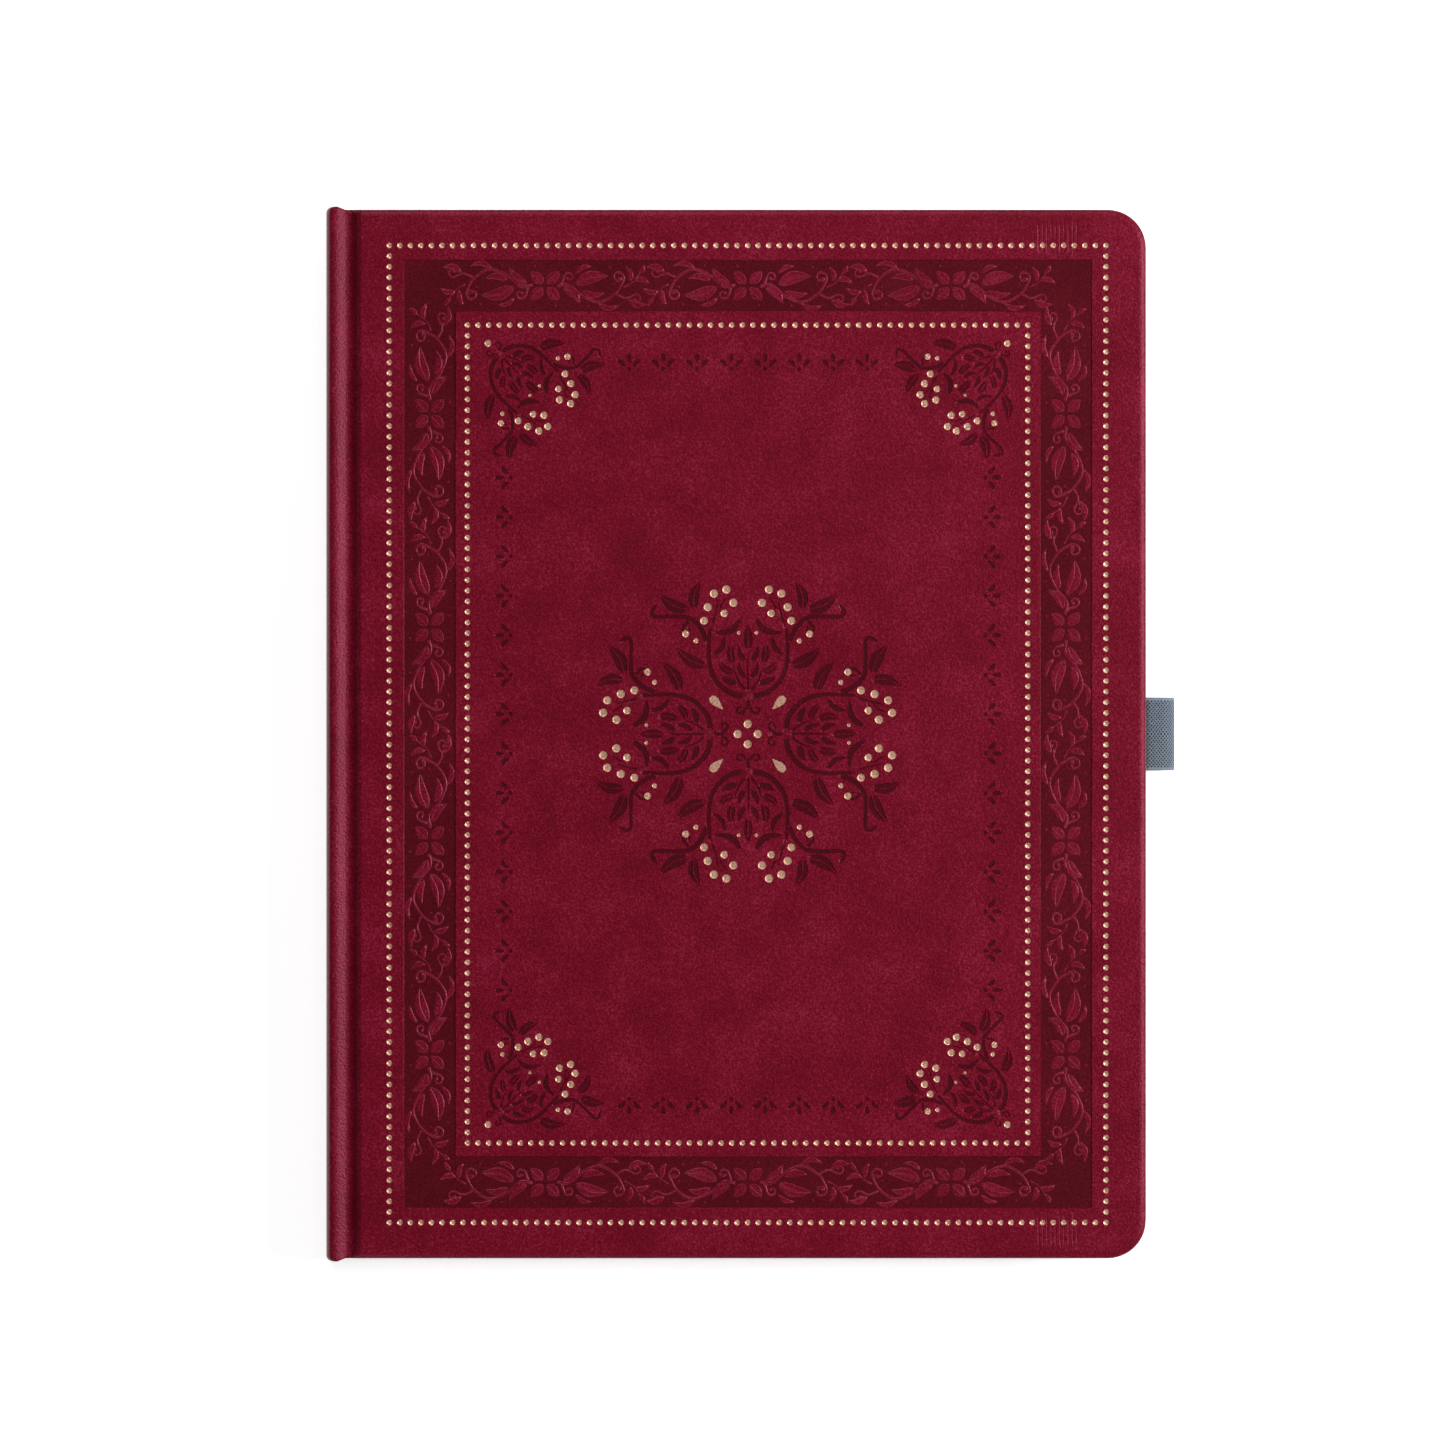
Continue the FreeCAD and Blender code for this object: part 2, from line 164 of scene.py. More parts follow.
# ---- finishes
@dataclass(frozen=True)
class Leather:
    """Calf leather over board: fine pebbled grain, cloudy dye and a soft glaze."""

    name: str = "grained_calf_leather"
    deep: str = "#50020f"
    middle: str = "#68041b"
    pale: str = "#86223c"
    grain_mm: float = 0.62
    cloud_mm: float = 14.0
    glaze: str = "#ea90ac"
    roughness: float = 0.36
    grain_depth_mm: float = 0.09

    def material(self) -> Material:
        """Builds the material: mottled dye, pebbles and pores in the surface."""
        material, tree, where = new_material(self.name)
        cloud = add_node(tree, "TexNoise", {"Scale": per_mm(self.cloud_mm), "Detail": 6.0, "Roughness": 0.66},
                         Vector=where).outputs["Fac"]
        speck = add_node(tree, "TexNoise", {"Scale": per_mm(self.grain_mm), "Detail": 4.0, "Roughness": 0.75},
                         Vector=where).outputs["Fac"]
        pebble = add_node(tree, "TexVoronoi", {"feature": "SMOOTH_F1", "Scale": per_mm(self.grain_mm),
                                               "Smoothness": 0.5}, Vector=where).outputs["Distance"]
        dye = add_node(tree, "Math", {"operation": "MULTIPLY_ADD", 1: 0.42, 2: -0.165}, in0=cloud)
        fleck = add_node(tree, "Math", {"operation": "MULTIPLY_ADD", 1: 1.05}, in0=speck,
                         in2=dye)
        dyed = add_node(tree, "ValToRGB", {"stops": ((0.40, self.deep), (0.60, self.middle),
                                                     (0.84, self.pale))}, Fac=fleck)
        height = add_node(tree, "Math", {"operation": "MULTIPLY_ADD", 1: -1.0}, in0=pebble, in2=speck)
        gloss = add_node(tree, "MapRange", {"To Min": self.roughness - 0.06, "To Max": self.roughness + 0.08},
                         Value=speck)
        close_material(tree, dyed, height,
                       (0.75, self.grain_depth_mm), {"IOR": 1.45, "Specular Tint": linear(self.glaze)},
                       Roughness=gloss)
        return material


@dataclass(frozen=True)
class Mottled:
    """A finish of two tones in small clouds, with a relief that follows them.

    Attributes:
        name: the real material's name.
        dark: the darker tone.
        pale: the paler tone.
        cloud_mm: size of a cloud.
        stops: where a cloud is fully dark and fully pale.
        noise: how rich the clouds are, and how rough.
        relief: the relief's strength, and its depth in millimetres.
        shader: the shader's own values.
    """

    name: str
    dark: str
    pale: str
    cloud_mm: float
    stops: Point
    noise: Point
    relief: Point
    shader: dict

    def material(self) -> Material:
        """Builds the material."""
        material, tree, where = new_material(self.name)
        cloud = add_node(tree, "TexNoise", {"Scale": per_mm(self.cloud_mm), "Detail": self.noise[0],
                                            "Roughness": self.noise[1]}, Vector=where)
        stops = tuple(zip(self.stops, (self.dark, self.pale)))
        tone = add_node(tree, "ValToRGB", {"stops": stops}, Fac=cloud)
        close_material(tree, tone, cloud, self.relief, self.shader)
        return material


@dataclass(frozen=True)
class Elastic:
    """Woven elastic: staggered rows of small gaps between pale yarns, and smooth selvages. The gaps' dark is
    painted shade in the weave's hollows, and the lit tone is a painted highlight on the yarns.
    """

    name: str = "woven_grey_elastic"
    # gap is painted shade in the weave's hollows; lit is a painted highlight on the yarns
    gap: str = "#1a2129"
    yarn: str = "#616e7f"
    lit: str = "#8d99a8"
    gap_mm: float = 0.86
    row_mm: float = 1.1
    selvage_mm: float = 0.85

    def material(self) -> Material:
        """Builds the material on the strap's own map: millimetres along it and in from its edge."""
        material, tree, _ = new_material(self.name)
        where = add_node(tree, "UVMap", {"uv_map": "strap"}).outputs["UV"]
        split = add_node(tree, "SeparateXYZ", Vector=where).outputs
        along = add_node(tree, "Math", {"operation": "MULTIPLY", 1: pi / self.gap_mm}, in0=split[0])
        across = add_node(tree, "Math", {"operation": "MULTIPLY", 1: pi / self.row_mm}, in0=split[1])
        waves = []
        for operation in ("ADD", "SUBTRACT"):
            angle = add_node(tree, "Math", {"operation": operation}, in0=along,
                             in1=across)
            waves.append(add_node(tree, "Math", {"operation": "SINE"}, in0=angle))
        lattice = add_node(tree, "Math", {"operation": "MULTIPLY"}, in0=waves[0],
                           in1=waves[1])
        holes = add_node(tree, "Math", {"operation": "MULTIPLY"}, in0=lattice,
                         in1=lattice)
        woven = add_node(tree, "Math", {"operation": "GREATER_THAN", 1: self.selvage_mm}, in0=split[1])
        gaps = add_node(tree, "Math", {"operation": "MULTIPLY"}, in0=holes, in1=woven)
        fuzz = add_node(tree, "TexNoise", {"Scale": 2.6, "Detail": 4.0, "Roughness": 0.7},
                        Vector=where).outputs["Fac"]
        tone = add_node(tree, "Math", {"operation": "MULTIPLY_ADD", 1: -1.1}, in0=gaps, in2=fuzz)
        # The gaps take the darkest colour as painted shade, and the noise's high end takes the painted
        # highlight.
        colour = add_node(tree, "ValToRGB", {"stops": ((0.0, self.gap), (0.32, self.yarn), (0.75, self.lit))},
                          Fac=tone)
        close_material(tree, colour, tone, (1.0, 0.22), {"Roughness": 0.82, "Sheen Weight": 0.1})
        return material


@dataclass(frozen=True)
class PlainWeave:
    """Cloth of crossed threads, in stripes where it has two colours."""

    name: str
    warp: str
    weft: str
    thread_mm: float = 0.5
    stripe_mm: float = 0.0

    def material(self) -> Material:
        """Builds the material: a two-way weave, with stripes through the book's thickness."""
        material, tree, where = new_material(self.name)
        waves = [add_node(tree, "TexWave", {"bands_direction": direction, "Distortion": 0.4,
                                            "Scale": per_mm(self.thread_mm) / WAVE_CELLS}, Vector=where)
                 for direction in "XYZ"]
        cross = add_node(tree, "Math", {"operation": "MULTIPLY"}, in0=waves[0].outputs["Fac"],
                         in1=waves[1].outputs["Fac"])
        weave = add_node(tree, "Math", {"operation": "MULTIPLY_ADD", 1: 0.5}, in0=waves[2].outputs["Fac"],
                         in2=cross)
        if self.stripe_mm:
            bands = add_node(tree, "TexWave", {"bands_direction": "Z",
                                              "Scale": per_mm(self.stripe_mm) / WAVE_CELLS}, Vector=where)
            tone, stops = bands.outputs["Fac"], ((0.45, self.warp), (0.55, self.weft))
        else:
            tone, stops = weave, ((0.1, self.weft), (0.6, self.warp))
        colour = add_node(tree, "ValToRGB", {"stops": stops}, Fac=tone)
        close_material(tree, colour, weave, (0.8, 0.1), {"Roughness": 0.8, "Sheen Weight": 0.15})
        return material


class Finishes:
    """Every material of the book, made once."""

    def __init__(self) -> None:
        """Makes the materials, each with a note on what it gives the eye."""
        # Calf leather has pebbled grain under a soft glaze, and its dye clouds from deep to pale red.
        self.leather = Leather().material()
        # Where the hot plate pressed the border the leather is burnished: darker and smoother.
        self.burnished = Leather("burnished_calf_leather", "#3a0206", "#4a040c", "#5e1018", cloud_mm=30.0,
                                 roughness=0.38, grain_depth_mm=0.03).material()
        # The sloping rims of the standing vine take a paler, glossier leather: the paler colour is a painted
        # highlight along the rims, and the gloss is a lower roughness.
        self.rim_highlight = Leather("rim_highlight_calf_leather", "#5e0c1e", "#761a30", "#8e2e46", roughness=0.32,
                              grain_depth_mm=0.03).material()
        # Blind lines are pressed deepest, which leaves them nearly black.
        self.pressed = Leather("pressed_calf_leather", "#300207", "#3e040c", "#520e18", roughness=0.38,
                               grain_depth_mm=0.03).material()
        # Champagne foil is metal pressed hot into leather, and keeps some of the grain under it.
        self.foil = Mottled("stamped_champagne_foil", "#9c6c56", "#d2a68c", 0.45, (0.3, 0.55), (2.0, 0.5),
                            (0.7, 0.08), {"Metallic": 0.6, "Roughness": 0.42}).material()
        # Uncoated paper is a matt cream sheet with faint fibre clouds. Endpapers are a shade darker.
        matt = {"Roughness": 0.85, "Sheen Weight": 0.05}
        self.text_paper = Mottled("uncoated_text_paper", "#dfd5bf", "#efe8d6", 1.4, (0.35, 0.62), (6.0, 0.7),
                                  (0.25, 0.03), matt).material()
        self.endpaper = Mottled("heavy_endpaper", "#dccfb3", "#ece3cd", 2.2, (0.35, 0.62), (6.0, 0.7),
                                (0.25, 0.03), matt).material()
        # Woven elastic shows rows of gaps between pale yarns, with smooth selvages; the gaps' dark is painted
        # shade in the weave's hollows, and the lit tone a painted highlight on the yarns.
        self.elastic = Elastic().material()
        # The glued ends have lost their stretch, so their weave is seen side by side.
        self.hidden_elastic = PlainWeave("glued_elastic_end", "#8494a1", "#2b3640", thread_mm=0.6).material()
        # Greyboard is pressed waste-paper pulp, dull and with darker specks.
        self.board = Mottled("pressed_greyboard", "#6f6a62", "#a8a196", 0.8, (0.36, 0.5), (6.0, 0.75),
                             (0.5, 0.06), {"Roughness": 0.92}).material()
        # Mull is an open cotton gauze, stiff with starch.
        self.gauze = PlainWeave("starched_mull_gauze", "#ece7da", "#b9b2a1", thread_mm=1.1).material()
        # Waxed linen is twisted, which shows as fine slanting plies.
        self.thread = PlainWeave("waxed_linen_thread", "#ece6d6", "#c9c0ab", thread_mm=0.25).material()
        # The end band's thread changes colour every few turns, which gives even stripes.
        self.band_cloth = PlainWeave("striped_band_cloth", "#7a1a30", "#e6d9bd", thread_mm=0.4,
                                     stripe_mm=1.9).material()


# ---- the frame's sizes
@dataclass(frozen=True)
class BookFrame:
    """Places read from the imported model, in millimetres.

    Attributes:
        spine_x: the spine's outer face.
        joint_x: where the joint starts.
        board_x: where the board starts.
        text_x: the folds of the leaves.
        page_x: the leaves' fore-edge.
        fore_x: the covers' fore-edge.
        cover_half: half a cover's height.
        spine_half: half the spine's height.
        page_half: half a leaf's height.
        top_z: the front cover's outer face.
        inner_z: the back cover's inner face.
        groove_u: the crest, bottom and end of the joint's groove, from the spine's face.
        groove_deep: depths of that crest and bottom below the cover's face.
    """

    spine_x: float
    joint_x: float
    board_x: float
    text_x: float
    page_x: float
    fore_x: float
    cover_half: float
    spine_half: float
    page_half: float
    top_z: float
    inner_z: float
    groove_u: tuple[float, float, float] = (1.9, 6.5, 9.8)
    groove_deep: tuple[float, float] = (1.2, 2.4)

    def groove(self, x: float) -> float:
        """How deep the leather's outer face lies below the cover's, from the spine's crest to the board.

        Args:
            x: a place between the spine and the board.

        Returns:
            The depth: a crest, a soft groove, and nothing on the board.
        """
        crest, bottom, edge = (self.spine_x + u for u in self.groove_u)
        top, deep = self.groove_deep
        if x <= bottom:
            share = min(1.0, max(0.0, (x - crest) / (bottom - crest)))
            return top + (deep - top) * (1 - cos(pi * share)) / 2
        share = min(1.0, (x - bottom) / (edge - bottom))
        return deep * (1 + cos(pi * share)) / 2

    @staticmethod
    def read() -> "BookFrame":
        """Reads the places from the nodes' boxes."""
        def corners(node: str) -> tuple[list[float], list[float]]:
            """A node's box in millimetres."""
            low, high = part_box(node)
            return [v / MM for v in low], [v / MM for v in high]

        spine_low, spine_high = corners("spine_leather")
        joint_low, joint_high = corners("back_joint_leather")
        page_low, page_high = corners("signature_01")
        case_high, front_high = corners("back_leather")[1], corners("front_leather")[1]
        return BookFrame(spine_x=spine_low[0], joint_x=joint_low[0], board_x=joint_high[0],
                         text_x=page_low[0], page_x=page_high[0], fore_x=case_high[0],
                         cover_half=case_high[1], spine_half=spine_high[1], page_half=page_high[1],
                         top_z=front_high[2], inner_z=corners("back_infill_card")[1][2])


# ---- plane drawing
def smooth_line(points: Sequence[Point], count: int) -> list[Point]:
    """Samples a Catmull-Rom curve through the points.

    Args:
        points: the places the curve passes through.
        count: how many samples to take.

    Returns:
        The samples, from the first point to the last.
    """
    ends = [(2 * points[0][0] - points[1][0], 2 * points[0][1] - points[1][1]),
            (2 * points[-1][0] - points[-2][0], 2 * points[-1][1] - points[-2][1])]
    knots = [ends[0], *points, ends[1]]
    spans = len(points) - 1
    line = []
    for i in range(count):
        t = i / (count - 1) * spans
        k = min(int(t), spans - 1)
        t -= k
        around = knots[k:k + 4]
        line.append(tuple(0.5 * (2 * b + (c - a) * t + (2 * a - 5 * b + 4 * c - d) * t * t
                                 + (3 * b - a - 3 * c + d) * t ** 3) for a, b, c, d in zip(*around)))
    return line


def normals(line: Sequence[Point]) -> list[Point]:
    """The left-hand unit normals along a line."""
    found = []
    for i in range(len(line)):
        a, b = line[max(i - 1, 0)], line[min(i + 1, len(line) - 1)]
        dx, dy = b[0] - a[0], b[1] - a[1]
        length = hypot(dx, dy) or 1.0
        found.append((-dy / length, dx / length))
    return found


@dataclass(frozen=True)
class Stroke:
    """One impression of the tool: a line with an edge at a signed distance on each side."""

    line: tuple[Point, ...]
    low: tuple[float, ...]
    high: tuple[float, ...]

    def loops(self, wall: float) -> tuple[list[Point], list[Point]]:
        """Draws the impression's outline and its floor's.

        Args:
            wall: the width of the sloping wall between them.

        Returns:
            The outer loop and the inner loop, both counter-clockwise. The inner may be empty.
        """
        wall = min(wall, 0.3 * max(h - l for l, h in zip(self.low, self.high)))
        sides = normals(self.line)
        spans = list(zip(self.line, sides, self.low, self.high))
        outer = closed_loop(spans)
        inner = [(p, n, l + wall, h - wall) for p, n, l, h in spans[1:-1] if h - l > 2.2 * wall]
        return outer, closed_loop(inner) if len(inner) > 1 else []


def closed_loop(spans: Sequence[tuple[Point, Point, float, float]], near: float = 0.03) -> list[Point]:
    """Joins the two edges of a stroke into one loop.

    Args:
        spans: a place, its normal and the two signed distances, along the stroke.
        near: points closer than this become one.

    Returns:
        The loop, counter-clockwise.
    """
    there = [(p[0] + n[0] * h, p[1] + n[1] * h) for p, n, _, h in spans]
    back = [(p[0] + n[0] * l, p[1] + n[1] * l) for p, n, l, _ in reversed(spans)]
    loop: list[Point] = []
    for point in there + back:
        if not loop or dist(point, loop[-1]) > near:
            loop.append(point)
    while len(loop) > 1 and dist(loop[0], loop[-1]) < near:
        loop.pop()
    area = sum(a[0] * b[1] - b[0] * a[1] for a, b in zip(loop, loop[1:] + loop[:1]))
    return loop if area > 0 else loop[::-1]


def leaf(base: Point, tip: Point, width: float, bend: float = 0.12, vein: float = 0.0,
         blunt: float = 0.0, count: int = 9) -> list[Stroke]:
    """A pointed leaf, in two halves where it has a vein.

    Args:
        base: where it starts.
        tip: where it ends.
        width: its widest.
        bend: how far its middle leans to the left, as a share of its length.
        vein: the gap between its halves.
        blunt: from 0, a pointed tip, to 1, a round one.
        count: samples along it.

    Returns:
        One or two strokes.
    """
    length = dist(base, tip)
    across = (-(tip[1] - base[1]) / length, (tip[0] - base[0]) / length)
    middle = ((base[0] + tip[0]) / 2 + across[0] * bend * length,
              (base[1] + tip[1]) / 2 + across[1] * bend * length)
    line = tuple(smooth_line([base, middle, tip], count))
    half = []
    for i in range(count):
        t = i / (count - 1)
        pointed = sin(pi * t ** 0.8) ** 0.9
        club = sin(pi * min(t, 0.999) ** 1.9) ** 0.6
        half.append(width / 2 * max(0.0, (1 - blunt) * pointed + blunt * club))
    if not vein:
        return [Stroke(line, tuple(-w for w in half), tuple(half))]
    gap = vein / 2
    upper = tuple(max(w, gap) for w in half)
    return [Stroke(line, (gap,) * count, upper),
            Stroke(line, tuple(-w for w in upper), (-gap,) * count)]


def stem(points: Sequence[Point], width: float, end: float = 0.45, count: int = 14,
         curl: float = 0.0, turn: float = 420.0) -> Stroke:
    """A tapering stem, which may end in a curl.

    Args:
        points: the places it passes through.
        width: its width at the start.
        end: its width at the end, as a share of that.
        count: samples along its open stretch.
        curl: the curl's first radius; negative turns to the right, and 0 is no curl.
        turn: how far the curl turns, in degrees.

    Returns:
        The stroke.
    """
    line = smooth_line(points, count)
    if curl:
        heading = atan2(line[-1][1] - line[-2][1], line[-1][0] - line[-2][0])
        x, y = line[-1]
        steps = max(6, round(abs(turn) / 30))
        step = radians(turn / steps) * (1 if curl > 0 else -1)
        for i in range(steps):
            radius = abs(curl) * (1 - 0.68 * i / (steps - 1))
            heading += step
            x += radius * abs(step) * cos(heading - step / 2)
            y += radius * abs(step) * sin(heading - step / 2)
            line.append((x, y))
    half = []
    for i in range(len(line)):
        t = i / (len(line) - 1)
        bulb = 1.4 * exp(-((t - 0.96) / 0.05) ** 2) if curl else 0.0
        half.append(width / 2 * (1 + (end - 1) * t + bulb))
    return Stroke(tuple(line), tuple(-w for w in half), tuple(half))


def disc(centre: Point, radius: float, count: int = 10) -> list[Point]:
    """A round outline, counter-clockwise."""
    return [(centre[0] + radius * cos(2 * pi * i / count),
             centre[1] + radius * sin(2 * pi * i / count)) for i in range(count)]


@dataclass(frozen=True)
class Setting:
    """How a motif is put down: scaled, squeezed across, turned and moved."""

    place: Point
    angle: float = 0.0
    scale: float = 1.0
    squeeze: float = 1.0
    flip: bool = False

    def at(self, point: Point) -> Point:
        """Where a point of the motif lands."""
        x = point[0] * self.scale * self.squeeze * (-1 if self.flip else 1)
        y = point[1] * self.scale
        turn = radians(self.angle)
        return (self.place[0] + x * cos(turn) - y * sin(turn),
                self.place[1] + x * sin(turn) + y * cos(turn))

    def stroke(self, stroke: Stroke) -> Stroke:
        """The stroke where it lands."""
        sign = -1 if self.flip else 1
        low = tuple(v * self.scale * sign for v in (stroke.high if self.flip else stroke.low))
        high = tuple(v * self.scale * sign for v in (stroke.low if self.flip else stroke.high))
        return Stroke(tuple(self.at(p) for p in stroke.line), low, high)


# ---- tooling
class Mark(Enum):
    """What an outline on the leather bounds."""

    FACE = 0
    SUNK_EDGE = 1
    SUNK_FLOOR = 2
    FOIL_EDGE = 3
    FOIL = 4
    PANEL_EDGE = 5
    PANEL_FLOOR = 6
    PANEL_ISLAND_FOOT = 7
    PANEL_ISLAND = 8
    RAISED_FOOT = 9
    RAISED_TOP = 10
    HOLE = 11
    RIB_EDGE = 12
    RIB_FLOOR = 13


class Dye(Enum):
    """The finish of a stretch of the leather, by its place among the mesh's materials."""

    PLAIN = 0
    BURNISHED = 1
    FOIL = 2
    # a paler leather on the standing motifs' rims, which is a painted highlight
    PAINTED_RIM_HIGHLIGHT = 3
    PRESSED = 4


class Dot(Enum):
    """A stamped dot: its rim's depth, its hollow's share of the radius, and the hollow's two depths."""

    FLAT = (0.09, 0.62, 0.19, 0.19)
    DISHED = (0.07, 0.5, 0.26, 0.29)


@dataclass
class Sheet:
    """A flat sheet with outlines pressed into it, triangulated between them.

    Attributes:
        sunk: depth of a blind impression.
        panel: depth of a pressed panel.
        raised: depth of what stands up in a panel.
        rib: depth of a rib that a band has left.
        wall: width of the walls.
        rim: width of the sloping rim of what stands up in a panel.
        points: the outlines' points.
        loops: each outline's point numbers, with its mark.
        fixed: depths that are set, by point number.
        creases: edges that the triangles keep.
    """

    sunk: float = 0.2
    panel: float = 0.28
    raised: float = 0.13
    rib: float = 0.08
    wall: float = 0.17
    rim: float = 0.24
    points: list[Point] = field(default_factory=list)
    loops: list[tuple[list[int], Mark]] = field(default_factory=list)
    fixed: dict[int, float] = field(default_factory=dict)
    creases: list[tuple[int, int]] = field(default_factory=list)

    def loop(self, outline: Sequence[Point], mark: Mark, depth: float | None = None) -> list[int]:
        """Adds an outline.

        Args:
            outline: its points, counter-clockwise.
            mark: what it bounds.
            depth: the depth of its points, where the marks alone don't say it.

        Returns:
            The numbers of its points.
        """
        first = len(self.points)
        self.points.extend(outline)
        numbers = list(range(first, len(self.points)))
        self.loops.append((numbers, mark))
        if depth is not None:
            self.fixed.update((n, depth) for n in numbers)
        return numbers

    def press(self, strokes: Sequence[Stroke], setting: Setting, raised: bool = False) -> None:
        """Presses strokes into the sheet, or leaves them standing in a panel."""
        edge, floor = (Mark.RAISED_FOOT, Mark.RAISED_TOP) if raised else (Mark.SUNK_EDGE, Mark.SUNK_FLOOR)
        for stroke in strokes:
            outer, inner = setting.stroke(stroke).loops(self.rim if raised else self.wall)
            if len(outer) > 2:
                self.loop(outer, edge)
            if len(inner) > 2:
                self.loop(inner, floor)

    def foil_dot(self, centre: Point, radius: float, dot: Dot = Dot.FLAT) -> None:
        """Stamps one round foil dot.

        Args:
            centre: its middle.
            radius: its radius.
            dot: how it is hollowed.
        """
        rim, share, deep, middle = dot.value
        self.loop(disc(centre, radius, 12), Mark.FOIL_EDGE)
        self.loop(disc(centre, radius - 0.08, 12), Mark.FOIL, rim)
        for point, depth in [(p, deep) for p in disc(centre, radius * share, 8)] + [(centre, middle)]:
            self.fixed[len(self.points)] = depth
            self.points.append(point)

    def foil_drop(self, stroke: Stroke) -> None:
        """Stamps one foil drop along a stroke."""
        outer, rim = stroke.loops(0.1)
        self.loop(outer, Mark.FOIL_EDGE)
        self.loop(rim, Mark.FOIL, 0.12)

    def rib_mark(self, start: Point, end: Point, width: float) -> None:
        """Leaves the shallow print of one rib."""
        line = tuple((start[0] + (end[0] - start[0]) * k / 3, start[1] + (end[1] - start[1]) * k / 3)
                     for k in range(4))
        outer, floor = Stroke(line, (-width / 2,) * 4, (width / 2,) * 4).loops(self.wall)
        self.loop(outer, Mark.RIB_EDGE)
        self.loop(floor, Mark.RIB_FLOOR)

    def crease(self, start: Point, end: Point) -> None:
        """Adds a straight edge that the triangles keep."""
        first = len(self.points)
        self.points.extend((start, end))
        self.creases.append((first, first + 1))

    def level(self, marks: frozenset[Mark]) -> tuple[float | None, Dye]:
        """How deep a triangle lies, and its finish.

        Args:
            marks: the marks of the outlines round it.

        Returns:
            The depth, or None on a wall, and the finish.
        """
        if Mark.FOIL in marks:
            return None, Dye.FOIL
        if Mark.PANEL_FLOOR in marks and Mark.PANEL_ISLAND_FOOT not in marks:
            if Mark.RAISED_TOP in marks:
                return self.raised, Dye.PLAIN
            if Mark.RAISED_FOOT in marks:
                # The standing motifs' sloping rims take the paler leather, a painted highlight.
                return None, Dye.PAINTED_RIM_HIGHLIGHT
            return self.panel, Dye.BURNISHED
        if Mark.PANEL_EDGE in marks and Mark.PANEL_ISLAND not in marks:
            return None, Dye.PLAIN
        if Mark.SUNK_FLOOR in marks:
            return self.sunk, Dye.PRESSED
        if Mark.RIB_FLOOR in marks and Mark.FOIL_EDGE not in marks:
            return self.rib, Dye.PLAIN
        if marks & {Mark.SUNK_EDGE, Mark.FOIL_EDGE, Mark.RIB_EDGE}:
            return None, Dye.PLAIN
        return 0.0, Dye.PLAIN

    def triangulate(self) -> tuple[list[Place], list[tuple[int, ...]], list[int], dict[int, int]]:
        """Cuts the sheet into triangles.

        Returns:
            Points with their depth, triangles, the triangles' finishes, and the new number of each
            point that was put in.
        """
        flat = [Vector(p) for p in self.points]
        found = delaunay_2d_cdt(flat, self.creases, [numbers for numbers, _ in self.loops], 1, 1e-5, True)
        places, _, faces, from_points, _, from_faces = found
        numbers = {old: new for new, olds in enumerate(from_points) for old in olds}
        known: dict[tuple[int, ...], tuple[float | None, Dye, bool]] = {}
        depth: list[float | None] = [None] * len(places)
        between = [self.sunk / 2] * len(places)
        triangles, dyes = [], []
        for face, parents in zip(faces, from_faces):
            key = tuple(parents)
            if key not in known:
                marks = frozenset(self.loops[i][1] for i in key)
                known[key] = (*self.level(marks), Mark.HOLE in marks)
            level, dye, hole = known[key]
            if dye is Dye.PAINTED_RIM_HIGHLIGHT:
                for n in face:
                    between[n] = (self.raised + self.panel) / 2
            if level is not None:
                rising = Mark.PANEL_FLOOR in (self.loops[i][1] for i in key) and level == self.raised
                for n in face:
                    if depth[n] is None or (level < depth[n] if rising else level > depth[n]
                                            and depth[n] != self.raised):
                        depth[n] = level
            if not hole:
                triangles.append(tuple(face))
                dyes.append(dye.value)
        for old, value in self.fixed.items():
            if old in numbers:
                depth[numbers[old]] = value
        points = [(p.x, p.y, m if d is None else d) for p, d, m in zip(places, depth, between)]
        return points, triangles, dyes, numbers


# ---- meshes
def link_mesh(name: str, points: Sequence[Place], faces: Sequence[Sequence[int]]) -> Object:
    """Makes a bare object from points in millimetres, at the origin."""
    mesh = bpy.data.meshes.new(name)
    mesh.from_pydata([[v * MM for v in p] for p in points], [], faces)
    piece = bpy.data.objects.new(name, mesh)
    bpy.context.scene.collection.objects.link(piece)
    return piece


def make_piece(name: str, points: Sequence[Place], faces: Sequence[Sequence[int]],
               materials: Sequence[Material], dyes: Sequence[int] | None = None,
               smooth_deg: float = 40.0) -> Object:
    """Makes a dressed object from points in millimetres.

    Args:
        name: the piece's name.
        points: its points.
        faces: its faces, by point numbers, outwards.
        materials: its materials.
        dyes: the material number of each face.
        smooth_deg: edges that turn by more stay sharp.

    Returns:
        The object, at the origin.
    """
    piece = link_mesh(name, points, faces)
    for material in materials:
        piece.data.materials.append(material)
    if dyes:
        piece.data.polygons.foreach_set("material_index", dyes)
    piece.data.update()
    smooth(piece, smooth_deg)
    return piece


def object_mode() -> None:
    """Leaves edit mode."""
    if bpy.context.mode != "OBJECT":
        bpy.ops.object.mode_set(mode="OBJECT")


def only(piece: Object) -> None:
    """Selects one object, and makes it active."""
    object_mode()
    bpy.ops.object.select_all(action="DESELECT")
    piece.select_set(True)
    bpy.context.view_layer.objects.active = piece


def smooth(piece: Object, degrees: float) -> None:
    """Shades an object smooth, apart from edges that turn by more than an angle."""
    only(piece)
    bpy.ops.object.shade_smooth_by_angle(angle=radians(degrees))


def sharpen_flats(piece: Object) -> None:
    """Keeps a flat face's shading apart from the slopes that touch it."""
    faces = bmesh.new()
    faces.from_mesh(piece.data)
    for edge in faces.edges:
        if len({abs(face.normal.z) > 0.99999 for face in edge.link_faces}) == 2:
            edge.smooth = False
    faces.to_mesh(piece.data)
    faces.free()


